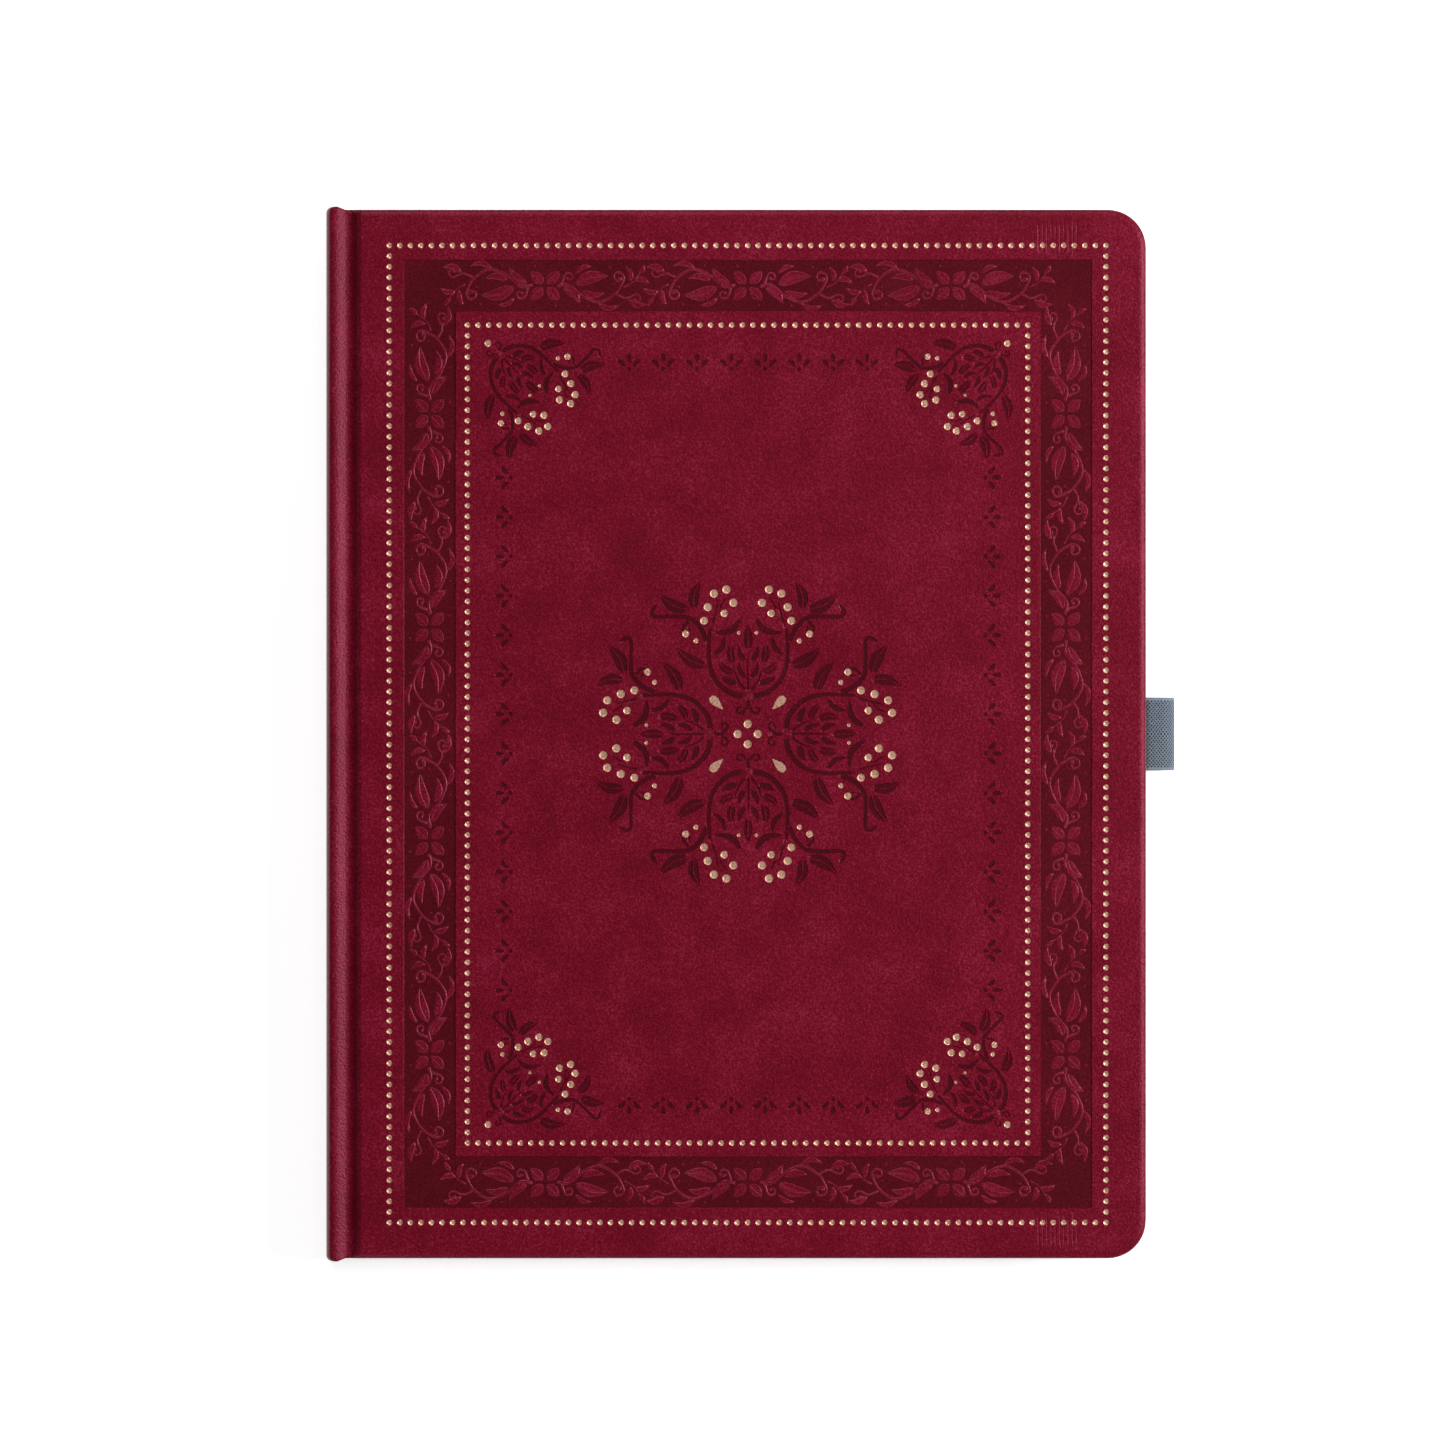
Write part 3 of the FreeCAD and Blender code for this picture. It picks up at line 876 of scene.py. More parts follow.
def place_down(piece: Object) -> None:
    """Moves an object's place, turn and size into its mesh."""
    only(piece)
    bpy.ops.object.transform_apply(location=True, rotation=True, scale=True)


def modify(piece: Object, kind: str, **settings: object) -> None:
    """Applies one modifier.

    Args:
        piece: the object.
        kind: the modifier's type.
        settings: its settings.
    """
    only(piece)
    modifier = piece.modifiers.new(kind.lower(), kind)
    for key, value in settings.items():
        setattr(modifier, key, value)
    bpy.ops.object.modifier_apply(modifier=modifier.name)


def select(piece: Object, kind: str, wanted: Callable[[Vector], bool]) -> None:
    """Selects vertices or edges by their middle, and leaves edit mode on.

    Args:
        piece: the object, which enters edit mode.
        kind: VERT or EDGE.
        wanted: whether the element at a place, in millimetres, is taken.
    """
    only(piece)
    bpy.ops.object.mode_set(mode="EDIT")
    bpy.ops.mesh.select_mode(type=kind)
    bpy.ops.mesh.select_all(action="DESELECT")
    bpy.ops.object.mode_set(mode="OBJECT")
    mesh = piece.data
    for element in mesh.vertices if kind == "VERT" else mesh.edges:
        ends = [element.index] if kind == "VERT" else element.vertices
        middle = sum((mesh.vertices[n].co for n in ends), Vector()) / len(ends)
        element.select = wanted(middle / MM)
    bpy.ops.object.mode_set(mode="EDIT")


def turn_outwards(piece: Object, merge: bool = False) -> None:
    """Turns all faces outwards.

    Args:
        piece: the object.
        merge: whether points in one place are made one first.
    """
    only(piece)
    bpy.ops.object.mode_set(mode="EDIT")
    bpy.ops.mesh.select_all(action="SELECT")
    if merge:
        bpy.ops.mesh.remove_doubles(threshold=1e-6)
    bpy.ops.mesh.normals_make_consistent(inside=False)
    object_mode()


def join(first: Object, others: Sequence[Object]) -> Object:
    """Joins objects into the first one.

    Args:
        first: the object that stays.
        others: the objects that become part of it.

    Returns:
        The first object.
    """
    only(first)
    for other in others:
        other.select_set(True)
    bpy.ops.object.join()
    return first


def bevelled_box(name: str, low: Place, high: Place, radius: float, material: Material) -> Object:
    """Makes a box with rounded edges between two corners.

    Args:
        name: the piece's name.
        low: the lowest corner.
        high: the highest corner.
        radius: the edges' radius.
        material: its material.

    Returns:
        The object, at the origin.
    """
    middle = [(a + b) / 2 * MM for a, b in zip(low, high)]
    bpy.ops.mesh.primitive_cube_add(size=1, location=middle)
    piece = bpy.context.object
    piece.name = piece.data.name = name
    piece.scale = [(b - a) * MM for a, b in zip(low, high)]
    place_down(piece)
    modify(piece, "BEVEL", width=radius * MM, segments=2, limit_method="NONE")
    piece.data.materials.append(material)
    smooth(piece, 50)
    return piece


# ---- ornament
@dataclass(frozen=True)
class Ornament:
    """The tooling of the front board: dotted frames, a pressed border with a vine, sprigs, four
    corner sprays and a middle spray of four lobes.

    Attributes:
        middle: the design's middle on the board.
        outer_dots: half the outer dotted frame.
        border: half the pressed border's outer edge.
        border_w: the pressed border's width.
        inner_dots: half the inner dotted frame.
        dot_pitch: from dot to dot.
        dot_r: a dot's radius.
        row_half: the rows of sprigs at head and tail, from the middle.
        row_pitch: from sprig to sprig in a row.
        row_count: sprigs in a row.
        column_half: the columns of sprigs, from the middle.
        column_pitch: from sprig to sprig in a column.
        column_count: sprigs in a column.
        corner_from_dots: where a corner spray starts, in from the inner dots' corner.
        corner_size: a corner spray's scale and squeeze.
        border_wall: width of the border's walls.
        rib_span: x of the closure band's first and last rib.
        rib_reach: a rib's two ends, from the middle of the cover.
        rib_w: width of an end rib and of one between.
        rib_count: how many ribs there are.
        vine_units: the vine's flowers at head or tail, and at a side.
        vine_reach: half the vine's length along each.
        vine_length: the length that a unit of the vine is drawn at.
    """

    middle: Point = (3.2, 0.0)
    outer_dots: Point = (97.7, 133.2)
    border: Point = (93.9, 129.4)
    border_w: float = 14.3
    inner_dots: Point = (76.4, 111.5)
    dot_pitch: float = 2.88
    dot_r: float = 0.84
    row_half: float = 101.5
    row_pitch: float = 9.27
    row_count: int = 8
    column_half: float = 66.7
    column_pitch: float = 10.75
    column_count: int = 14
    corner_from_dots: Point = (8.4, 7.9)
    corner_size: Point = (0.8, 0.95)
    border_wall: float = 0.25
    rib_span: Point = (82.5, 93.0)
    rib_reach: Point = (129.9, 140.9)
    rib_w: Point = (0.62, 0.46)
    rib_count: int = 10
    vine_units: tuple[int, int] = (3, 4)
    vine_reach: Point = (83.0, 116.5)
    vine_length: float = 56.0

    def tool(self, sheet: Sheet) -> None:
        """Puts the whole design on a sheet."""
        self.dotted_frame(sheet, self.outer_dots)
        self.dotted_frame(sheet, self.inner_dots)
        self.pressed_border(sheet)
        self.vines(sheet)
        self.sprigs(sheet)
        self.corners(sheet)
        self.medallion(sheet)
        self.imprint(sheet)

    def at(self, x: float, y: float) -> Point:
        """A place from the design's middle."""
        return (self.middle[0] + x, self.middle[1] + y)

    def rectangle(self, half: Point, inset: float = 0.0) -> list[Point]:
        """A rectangle round the design's middle."""
        x, y = half[0] - inset, half[1] - inset
        return [self.at(-x, -y), self.at(x, -y), self.at(x, y), self.at(-x, y)]

    def dotted_frame(self, sheet: Sheet, half: Point) -> None:
        """Stamps foil dots along a rectangle."""
        across, along = (round(2 * h / self.dot_pitch) for h in half)
        places = [(-half[0] + 2 * half[0] * i / across, y)
                  for i in range(across + 1) for y in (-half[1], half[1])]
        places += [(x, -half[1] + 2 * half[1] * i / along)
                   for i in range(1, along) for x in (-half[0], half[0])]
        for x, y in places:
            sheet.foil_dot(self.at(x, y), self.dot_r, Dot.DISHED)

    def pressed_border(self, sheet: Sheet) -> None:
        """Presses the border's panel."""
        for inset, mark in ((0.0, Mark.PANEL_EDGE), (self.border_wall, Mark.PANEL_FLOOR),
                            (self.border_w - self.border_wall, Mark.PANEL_ISLAND_FOOT),
                            (self.border_w, Mark.PANEL_ISLAND)):
            sheet.loop(self.rectangle(self.border, inset), mark)

    def vines(self, sheet: Sheet) -> None:
        """Leaves the flowering vine standing all round the border."""
        for side in (-1, 1):
            for upright, (count, reach) in enumerate(zip(self.vine_units, self.vine_reach)):
                length = 2 * reach / count
                away = side * (self.border[1 - upright] - self.border_w / 2)
                for i in range(count):
                    along = -reach + (i + 0.5) * length
                    place = self.at(away, along) if upright else self.at(along, away)
                    self.vine_unit(sheet, place, 90 * upright, length, side < 0 if upright else side > 0)

    def vine_unit(self, sheet: Sheet, place: Point, angle: float, length: float, flip: bool) -> None:
        """One flower of the vine with its two half-turn branches.

        Args:
            sheet: the leather.
            place: the flower's middle.
            angle: the vine's direction, in degrees.
            length: the unit's length.
            flip: whether the branches swap sides.
        """
        stretch = length / self.vine_length
        rays = [(cos(radians(45 + 90 * k)), sin(radians(45 + 90 * k))) for k in range(4)]
        for x, y in rays:
            petal = leaf((0.75 * x, 0.75 * y), (5.5 * x, 5.5 * y), 3.1, bend=0.0, vein=0.14, blunt=0.15)
            sheet.press(petal, Setting(place, angle), raised=True)
        branch = [
            stem([(3.4, 0.2), (6.6, -0.2), (10.2, 2.7), (15.2, 4.5), (19.6, 2.0), (21.6, -1.3)], 0.85,
                 end=0.6, count=18, curl=-1.7, turn=400),
            stem([(19.9, 2.3), (22.4, 3.4), (24.6, 2.5)], 0.6, curl=1.3, turn=330, count=6),
            stem([(4.6, -0.5), (5.3, -2.6)], 0.7, curl=1.35, turn=360, count=4),
            stem([(21.8, 0.4), (24.2, -0.9), (26.4, -3.6)], 0.55, count=6),
            *leaf((8.4, -0.3), (17.6, -2.6), 3.5, bend=-0.1, vein=0.16),
            *leaf((10.2, 1.5), (16.6, 2.0), 1.9, bend=0.14),
            *leaf((4.9, 0.6), (9.8, 4.9), 2.5, bend=-0.14, vein=0.14),
            *leaf((14.6, 4.9), (20.8, 5.3), 1.5, bend=0.18),
            *leaf((23.0, 3.9), (28.2, 5.0), 1.7, bend=0.15),
            *leaf((23.6, -1.2), (22.4, -5.2), 1.6, bend=0.15),
            *leaf((24.6, -1.6), (29.0, -0.6), 1.5, bend=-0.15),
            *leaf((26.0, -3.4), (27.6, -5.7), 1.2, bend=0.1),
            *leaf((8.4, -3.4), (13.2, -5.3), 1.3, bend=-0.15),
        ]
        buds = [(2.9, 5.4, 0.4), (17.9, -5.0, 0.42), (12.0, 5.5, 0.36), (19.0, -0.4, 0.36)]
        for turn in (0, 180):
            setting = Setting(place, angle + turn + 180 * flip, squeeze=stretch, flip=flip)
            sheet.press(branch, setting, raised=True)
            for x, y, radius in buds:
                centre = setting.at((x, y))
                sheet.loop(disc(centre, radius, 8), Mark.RAISED_FOOT)
                sheet.loop(disc(centre, radius - 0.12, 8), Mark.RAISED_TOP)

    def sprigs(self, sheet: Sheet) -> None:
        """Presses the rows of small sprigs, which point outwards."""
        petals = [
            *leaf((0.0, -0.4), (0.0, 2.5), 1.5, bend=0.0, blunt=0.5),
            *leaf((1.15, -1.7), (3.4, 0.6), 1.4, bend=0.14, blunt=0.4),
            *leaf((-1.15, -1.7), (-3.4, 0.6), 1.4, bend=-0.14, blunt=0.4),
        ]
        for side in (-1, 1):
            for i in range(self.row_count):
                x = (i - (self.row_count - 1) / 2) * self.row_pitch
                self.sprig(sheet, petals, Setting(self.at(x, side * self.row_half), 0 if side > 0 else 180))
            for i in range(self.column_count):
                y = (i - (self.column_count - 1) / 2) * self.column_pitch
                self.sprig(sheet, petals, Setting(self.at(side * self.column_half, y), -90 * side))

    def sprig(self, sheet: Sheet, petals: Sequence[Stroke], setting: Setting) -> None:
        """Presses one sprig: three petals over a small round seed.

        Args:
            sheet: the leather.
            petals: its petals.
            setting: how it is put down.
        """
        sheet.press(petals, setting)
        seed = setting.at((0.0, -1.95))
        sheet.loop(disc(seed, 0.62, 9), Mark.SUNK_EDGE)
        sheet.loop(disc(seed, 0.48, 9), Mark.SUNK_FLOOR)

    def corners(self, sheet: Sheet) -> None:
        """Presses the four corner sprays, which point to the middle."""
        for sx in (-1, 1):
            for sy in (-1, 1):
                base = self.at(sx * (self.inner_dots[0] - self.corner_from_dots[0]),
                               sy * (self.inner_dots[1] - self.corner_from_dots[1]))
                angle = degrees(atan2(-sy, -sx)) - 90
                self.spray(sheet, base, angle, *self.corner_size, corner=True)
                sheet.foil_dot((base[0] + sx * 2.8, base[1] + sy * 2.9), 1.0)

    def medallion(self, sheet: Sheet) -> None:
        """Presses the middle spray: four lobes, four foil drops and a cross of foil dots."""
        for k in range(4):
            turn = radians(90 * k)
            base = self.at(-10.0 * sin(turn), 10.0 * cos(turn))
            self.spray(sheet, base, 90 * k, 1.0, 1.0, corner=False)
            sheet.foil_dot(self.at(-2.75 * sin(turn), 2.75 * cos(turn)), 1.2)
            slant = radians(45 + 90 * k)
            ray = (cos(slant), sin(slant))
            drop = leaf(self.at(9.0 * ray[0], 9.0 * ray[1]), self.at(14.6 * ray[0], 14.6 * ray[1]), 2.5,
                        bend=0.0, blunt=1.0, count=19)[0]
            sheet.foil_drop(drop)

    def imprint(self, sheet: Sheet) -> None:
        """Leaves the ribbed prints of the closure band at head and tail."""
        for side in (-1, 1):
            for i in range(self.rib_count):
                x = self.rib_span[0] + (self.rib_span[1] - self.rib_span[0]) * i / (self.rib_count - 1)
                width = self.rib_w[0 < i < self.rib_count - 1]
                sheet.rib_mark((x, side * self.rib_reach[0]), (x, side * self.rib_reach[1]), width)

    def spray(self, sheet: Sheet, base: Point, angle: float, scale: float, squeeze: float,
              corner: bool) -> None:
        """One spray: two arching stems that close an oval, with leaves, curls and berries.

        Args:
            sheet: the leather.
            base: where its stems start.
            angle: its direction from +Y, in degrees.
            scale: its size.
            squeeze: its width, as a share of its length.
            corner: whether it fills a corner.
        """
        half = [
            stem([(0.2, 0.1), (5.2, 1.3), (9.2, 5.2), (10.7, 10.4), (10.6, 16.6), (10.4, 19.4)], 1.75,
                 end=0.55, count=20),
            stem([(10.75, 14.0), (12.8, 18.6), (16.0, 21.6), (20.2, 22.0), (24.9, 21.9)], 1.55, end=0.6,
                 count=14, curl=1.5, turn=230),
            stem([(15.6, 21.2), (17.4, 19.6)], 1.05, curl=-1.3, turn=330, count=4),
            *leaf((11.0, 8.3), (19.8, 13.6), 3.5, bend=-0.1, vein=0.12),
            *leaf((15.8, 23.6), (24.4, 28.3), 3.6, bend=-0.1, vein=0.12),
            *leaf((14.7, 23.4), (12.9, 31.8), 3.1, bend=-0.12, vein=0.12),
            *leaf((9.9, 17.6), (1.6, 22.0), 2.1, bend=0.2, blunt=0.45, count=12),
            *leaf((10.0, 11.2), (6.3, 17.2), 1.7, bend=0.16, blunt=0.3),
            stem([(10.3, 18.6), (8.9, 23.0), (8.0, 27.4)], 0.95, count=6),
            stem([(9.0, 22.6), (6.6, 26.0), (5.9, 27.6)], 0.8, count=5),
            stem([(9.6, 21.0), (10.8, 22.9)], 0.8, count=3),
            stem([(9.3, 21.8), (7.4, 23.0)], 0.75, count=3),
            stem([(0.0, 1.2), (2.6, 4.2), (4.0, 8.4)], 1.05, count=7),
            *leaf((2.5, 4.0), (7.6, 5.9), 2.0, bend=-0.12),
            *leaf((3.6, 6.6), (8.4, 10.2), 2.2, bend=-0.12, vein=0.1),
            *leaf((4.0, 8.8), (4.3, 15.4), 2.4, bend=-0.1, vein=0.1),
            *leaf((0.5, 5.0), (2.6, 9.8), 1.6, bend=-0.12),
            *leaf((0.5, 9.6), (2.7, 14.4), 1.7, bend=-0.12),
        ]
        if corner:
            half.append(stem([(0.3, -0.4), (2.4, -1.4)], 1.05, curl=-1.15, turn=330, count=4))
        else:
            half.append(stem([(0.2, -2.4), (1.2, -3.9)], 1.05, curl=1.15, turn=330, count=4))
        core = [
            stem([(0.0, 0.6), (-0.1, 6.0), (0.0, 12.4)], 1.0, count=9),
            *leaf((0.0, 12.6), (0.0, 20.0), 2.7, bend=0.0, vein=0.1),
        ]
        if not corner:
            core.append(stem([(0.0, -4.6), (0.0, 0.4)], 1.0, end=1.1, count=5))
        berries = [(9.2, 28.3, 1.2), (5.8, 29.4, 1.2), (10.9, 24.6, 1.2), (3.9, 25.8, 1.2), (6.4, 22.9, 1.1),
                   (11.9, 20.9, 1.15), (16.9, 17.3, 1.05), (14.1, 15.4, 0.78), (2.4, 17.6, 0.6)]
        for flip in (False, True):
            setting = Setting(base, angle, scale, squeeze, flip)
            sheet.press(half, setting)
            for x, y, radius in berries:
                sheet.foil_dot(setting.at((x, y)), radius * sqrt(scale))
        sheet.press(core, Setting(base, angle, scale, squeeze))


# ---- case leather
class Side(Enum):
    """A cover of the book."""

    BACK = "back"
    FRONT = "front"


@dataclass
class CaseLeather:
    """The leather over one board and its joint, turned in round three edges.

    Depths are counted inwards from the cover's outer face.

    Attributes:
        book: the frame's places.
        side: the cover it is on.
        corner_r: radius of the cover's corners.
        edge_w: width of its rounded outer edges.
        edge_r: depth of its rounded outer edges.
        skin: the leather's thickness.
        turn_in_w: width of the turned-in border.
        turn_in: thickness of the turned-in border.
        board_t: the board's thickness.
        thin_w: width of the joint, where there is leather only.
        thin_drop: how far the rounded edge falls on the joint.
        loop_half: half the pen loop's notch.
        loop_seat: depth at which the pen loop's ends lie.
        channel_in: the closure band's middle, in from the fore-edge.
        channel_half: half its channel's width.
        channel_end: the channel's ends, from the middle.
        channel_deep: the channel's depth.
        slot_w: width of the slots at its ends.
    """

    book: BookFrame
    side: Side
    corner_r: float = 10.4
    edge_w: float = 1.9
    edge_r: float = 1.1
    skin: float = 0.8
    turn_in_w: float = 15.0
    turn_in: float = 0.5
    board_t: float = 2.2
    thin_w: float = 3.7
    thin_drop: float = 0.4
    loop_half: float = 10.3
    loop_seat: float = 1.7
    channel_in: float = 24.2
    channel_half: float = 5.5
    channel_end: float = 123.7
    channel_deep: float = 1.0
    slot_w: float = 1.4

    @property
    def full(self) -> float:
        """The depth of the turned-in border's inner face."""
        return self.skin + self.board_t + self.turn_in

    def joint_columns(self) -> list[float]:
        """Where the outer face gets an edge along the joint."""
        first, last = self.book.joint_x, self.book.spine_x + self.book.groove_u[2]
        return [first + (last - first) * k / 14 for k in range(15)]

    def outline(self, inset: float, start_x: float) -> list[tuple[float, float, bool]]:
        """The cover's outline at an inset, counter-clockwise from the tail end of the joint.

        Args:
            inset: the distance in from the outer edges.
            start_x: where it closes, at the joint.

        Returns:
            Places, and whether each lies on the straight close at the joint.
        """
        book = self.book
        near = self.joint_columns()
        far = book.fore_x - self.corner_r
        steps = 14
        first = near[-1]
        base = near + [first + (far - first) * i / steps for i in range(1, steps + 1)]
        along = [max(x, start_x + 0.02 * k) for k, x in enumerate(base)]
        along[0] = start_x
        half = book.cover_half
        edge = half - inset
        radius = max(self.corner_r - inset, 0.6)
        centre = (book.fore_x - inset - radius, edge - radius)
        turns = [radians(a) for a in range(90, -1, -9)]
        arc = [(centre[0] + radius * cos(t), centre[1] + radius * sin(t)) for t in turns]
        fore = [self.loop_half + 0.02, self.loop_half, self.loop_half / 2]
        reach = half - self.corner_r
        ys = [reach * k / 7 for k in range(6, 0, -1)] + fore
        straight = [(book.fore_x - inset, y) for y in [-v for v in ys] + [0.0] + ys[::-1]]
        loop = [(x, -edge) for x in along[:-1]] + [(x, -y) for x, y in arc] + straight
        loop += arc[::-1] + [(x, edge) for x in along[-2::-1]]
        return [(x, y, False) for x, y in loop] + [(start_x, edge * (1 - k / 6), True) for k in range(1, 12)]

    def rings(self) -> list[list[Place]]:
        """The closed rings from the outer face's edge, round the edge and the turn-in, to the board."""
        joint, board = self.book.joint_x, self.book.board_x
        full = self.full
        rings = []
        for degrees, share in ((0, 0.0), (10, 0.03), (22, 0.08), (36, 0.15), (50, 0.23), (64, 0.31),
                               (78, 0.4), (90, 0.48)):
            turn = radians(degrees)
            fall = 1 - cos(turn)
            rings.append(self.ring(self.edge_w * (1 - sin(turn)), joint,
                                   lambda x, y: self.book.groove(x) + fall * self.edge_drop(x), share))
        for inset, rise, share in ((0.0, 0.28, 0.6), (0.1, 0.08, 0.75), (0.35, 0.0, 0.9), (0.42, 0.0, 1.0)):
            rings.append(self.ring(inset, joint, lambda x, y: self.inner_depth(x, y) - rise, share))
        for inset, start in ((0.5, joint + 1.05), (0.6, joint + 2.4), (0.7, board)):
            rings.append(self.ring(inset, start, self.inner_depth, 1.0))
        wide = self.skin + self.turn_in_w
        rings.append(self.notched(wide, board + 0.01, full, 1.7, 1.2))
        rings.append(self.notched(wide, board + 0.02, full - self.turn_in, 1.69, 1.15))
        rings.append(self.notched(self.skin, board + 0.03, full - self.turn_in, 1.6, 1.1))
        rings.append([(x, y, self.skin) for x, y, _ in self.outline(self.skin, board + 0.04)])
        return rings

    def edge_drop(self, x: float) -> float:
        """How far the rounded edge falls, which is less on the thin joint."""
        return self.edge_r if x > self.book.joint_x + self.thin_w else self.thin_drop

    def inner_depth(self, x: float, y: float) -> float:
        """The depth of the inner face, beside the joint, at the loop's notch and elsewhere."""
        if x < self.book.joint_x + self.thin_w:
            return self.book.groove(x) + self.skin
        if self.notch(x, y):
            return self.loop_seat
        return self.full

    def notch(self, x: float, y: float) -> bool:
        """Whether a place lies in the notch for the pen loop's glued ends."""
        return self.side is Side.BACK and x > 0 and abs(y) <= self.loop_half + 0.001

    def ring(self, inset: float, start_x: float, depth: Callable[[float, float], float],
             share: float) -> list[Place]:
        """One ring.

        Args:
            inset: the distance in from the outer edges.
            start_x: where it closes, at the joint.
            depth: the depth at a place.
            share: how far through the leather its straight close lies, at the joint.

        Returns:
            Its places, with their depth.
        """
        return [(x, y, self.book.groove(x) + share * self.skin if closing else depth(x, y))
                for x, y, closing in self.outline(inset, start_x)]

    def notched(self, inset: float, start_x: float, deep: float, notch_deep: float,
                close_deep: float) -> list[Place]:
        """One ring of the turn-in, which stays at the edge in the loop's notch.

        Args:
            inset: the distance in from the outer edges.
            start_x: where it closes, at the joint.
            deep: its depth.
            notch_deep: its depth in the notch.
            close_deep: its depth along the close.

        Returns:
            Its places, with their depth.
        """
        wide = self.outline(inset, start_x)
        tight = self.outline(self.skin - 0.01 * (self.full - deep), start_x)
        ring = []
        for (x, y, closing), (near_x, near_y, _) in zip(wide, tight):
            if closing:
                ring.append((x, y, close_deep))
            elif self.notch(near_x, near_y):
                ring.append((near_x, near_y, notch_deep))
            else:
                ring.append((x, y, deep))
        return ring

    def sheet(self, ring: Sequence[Place], ornament: Ornament | None) -> Sheet:
        """The outer face inside its rounded edge, with its tooling or its channel.

        Args:
            ring: the face's edge.
            ornament: the tooling, if any.

        Returns:
            The sheet, ready to cut into triangles.
        """
        sheet = Sheet()
        sheet.loop([(x, y) for x, y, _ in ring], Mark.FACE)
        edge = self.book.cover_half - self.edge_w
        for x in self.joint_columns()[1:]:
            sheet.crease((x, -edge), (x, edge))
        if ornament:
            ornament.tool(sheet)
        if self.side is Side.BACK:
            self.channel(sheet, 0.0, 0.12)
        return sheet

    def channel(self, sheet: Sheet, wider: float, wall: float) -> list[list[int]]:
        """Adds the closure band's channel and its two slots.

        Args:
            sheet: the face.
            wider: how much wider than the channel.
            wall: width of its walls.

        Returns:
            The slots' point numbers.
        """
        x = self.book.fore_x - self.channel_in
        half, end = self.channel_half + wider, self.channel_end + wider

        def box(dx: float, y0: float, y1: float) -> list[Point]:
            """A rectangle round the channel's middle line."""
            return [(x - dx, y0), (x + dx, y0), (x + dx, y1), (x - dx, y1)]

        sheet.loop(box(half, -end, end), Mark.SUNK_EDGE)
        sheet.loop(box(half - wall, -end + wall, end - wall), Mark.SUNK_FLOOR)
        inner = self.channel_half - 0.3
        slots = []
        for side in (-1, 1):
            y0, y1 = sorted((side * (self.channel_end - 0.2), side * (self.channel_end - self.slot_w)))
            slots.append(sheet.loop(box(inner, y0, y1), Mark.HOLE))
        return slots

    def build(self, finishes: Finishes, ornament: Ornament | None) -> Object:
        """Builds the piece.

        Args:
            finishes: the materials.
            ornament: the tooling of its outer face, if any.

        Returns:
            The closed leather, in the book's frame.
        """
        rings = self.rings()
        face = self.sheet(rings[0], ornament)
        if self.side is Side.BACK:
            face.sunk = self.channel_deep
        points, faces, dyes, numbers = face.triangulate()
        points = [(x, y, d + self.book.groove(x)) for x, y, d in points]
        before = [numbers[n] for n in range(len(rings[0]))]
        for n, place in zip(before, rings[0]):
            points[n] = place
        for ring in rings[1:]:
            here = list(range(len(points), len(points) + len(ring)))
            points += ring
            count = len(ring)
            for i in range(count):
                j = (i + 1) % count
                faces.append((before[i], here[i], here[j], before[j]))
            before = here
        if self.side is Side.FRONT:
            faces.append(tuple(reversed(before)))
            points = [(x, y, self.book.top_z - d) for x, y, d in points]
            dyes += [0] * (len(faces) - len(dyes))
            materials = [finishes.leather, finishes.burnished, finishes.foil, finishes.rim_highlight,
                         finishes.pressed]
        else:
            self.close_channel(face, numbers, points, faces, before)
            faces = [tuple(reversed(f)) for f in faces]
            dyes, materials = [0] * len(faces), [finishes.leather]
        piece = make_piece(f"{self.side.value}_case_leather", points, faces, materials, dyes, smooth_deg=32)
        sharpen_flats(piece)
        return piece

    def close_channel(self, face: Sheet, numbers: dict[int, int], points: list[Place],
                      faces: list[tuple[int, ...]], edge: Sequence[int]) -> None:
        """Closes the back leather's inner side, with the channel's lining and the slots' walls.

        Args:
            face: the outer face.
            numbers: the new numbers of the face's points.
            points: the piece's points, which grow.
            faces: the piece's faces, which grow.
            edge: the last ring, by point numbers.
        """
        lining = Sheet(sunk=self.channel_deep + self.skin)
        lining.loop([points[n][:2] for n in edge], Mark.FACE)
        inner_slots = self.channel(lining, self.skin, 0.05)
        inner_points, inner_faces, _, inner_numbers = lining.triangulate()
        turned = {inner_numbers[k]: n for k, n in enumerate(edge)}
        place = {}
        for n, (x, y, d) in enumerate(inner_points):
            if n in turned:
                place[n] = turned[n]
            else:
                place[n] = len(points)
                points.append((x, y, max(d, self.skin)))
        faces.extend(tuple(place[n] for n in reversed(f)) for f in inner_faces)
        outer_slots = [numbers_of for numbers_of, mark in face.loops if mark is Mark.HOLE]
        for outer, inner in zip(outer_slots, inner_slots):
            for i in range(4):
                j = (i + 1) % 4
                faces.append((numbers[outer[i]], numbers[outer[j]], place[inner_numbers[inner[j]]],
                              place[inner_numbers[inner[i]]]))


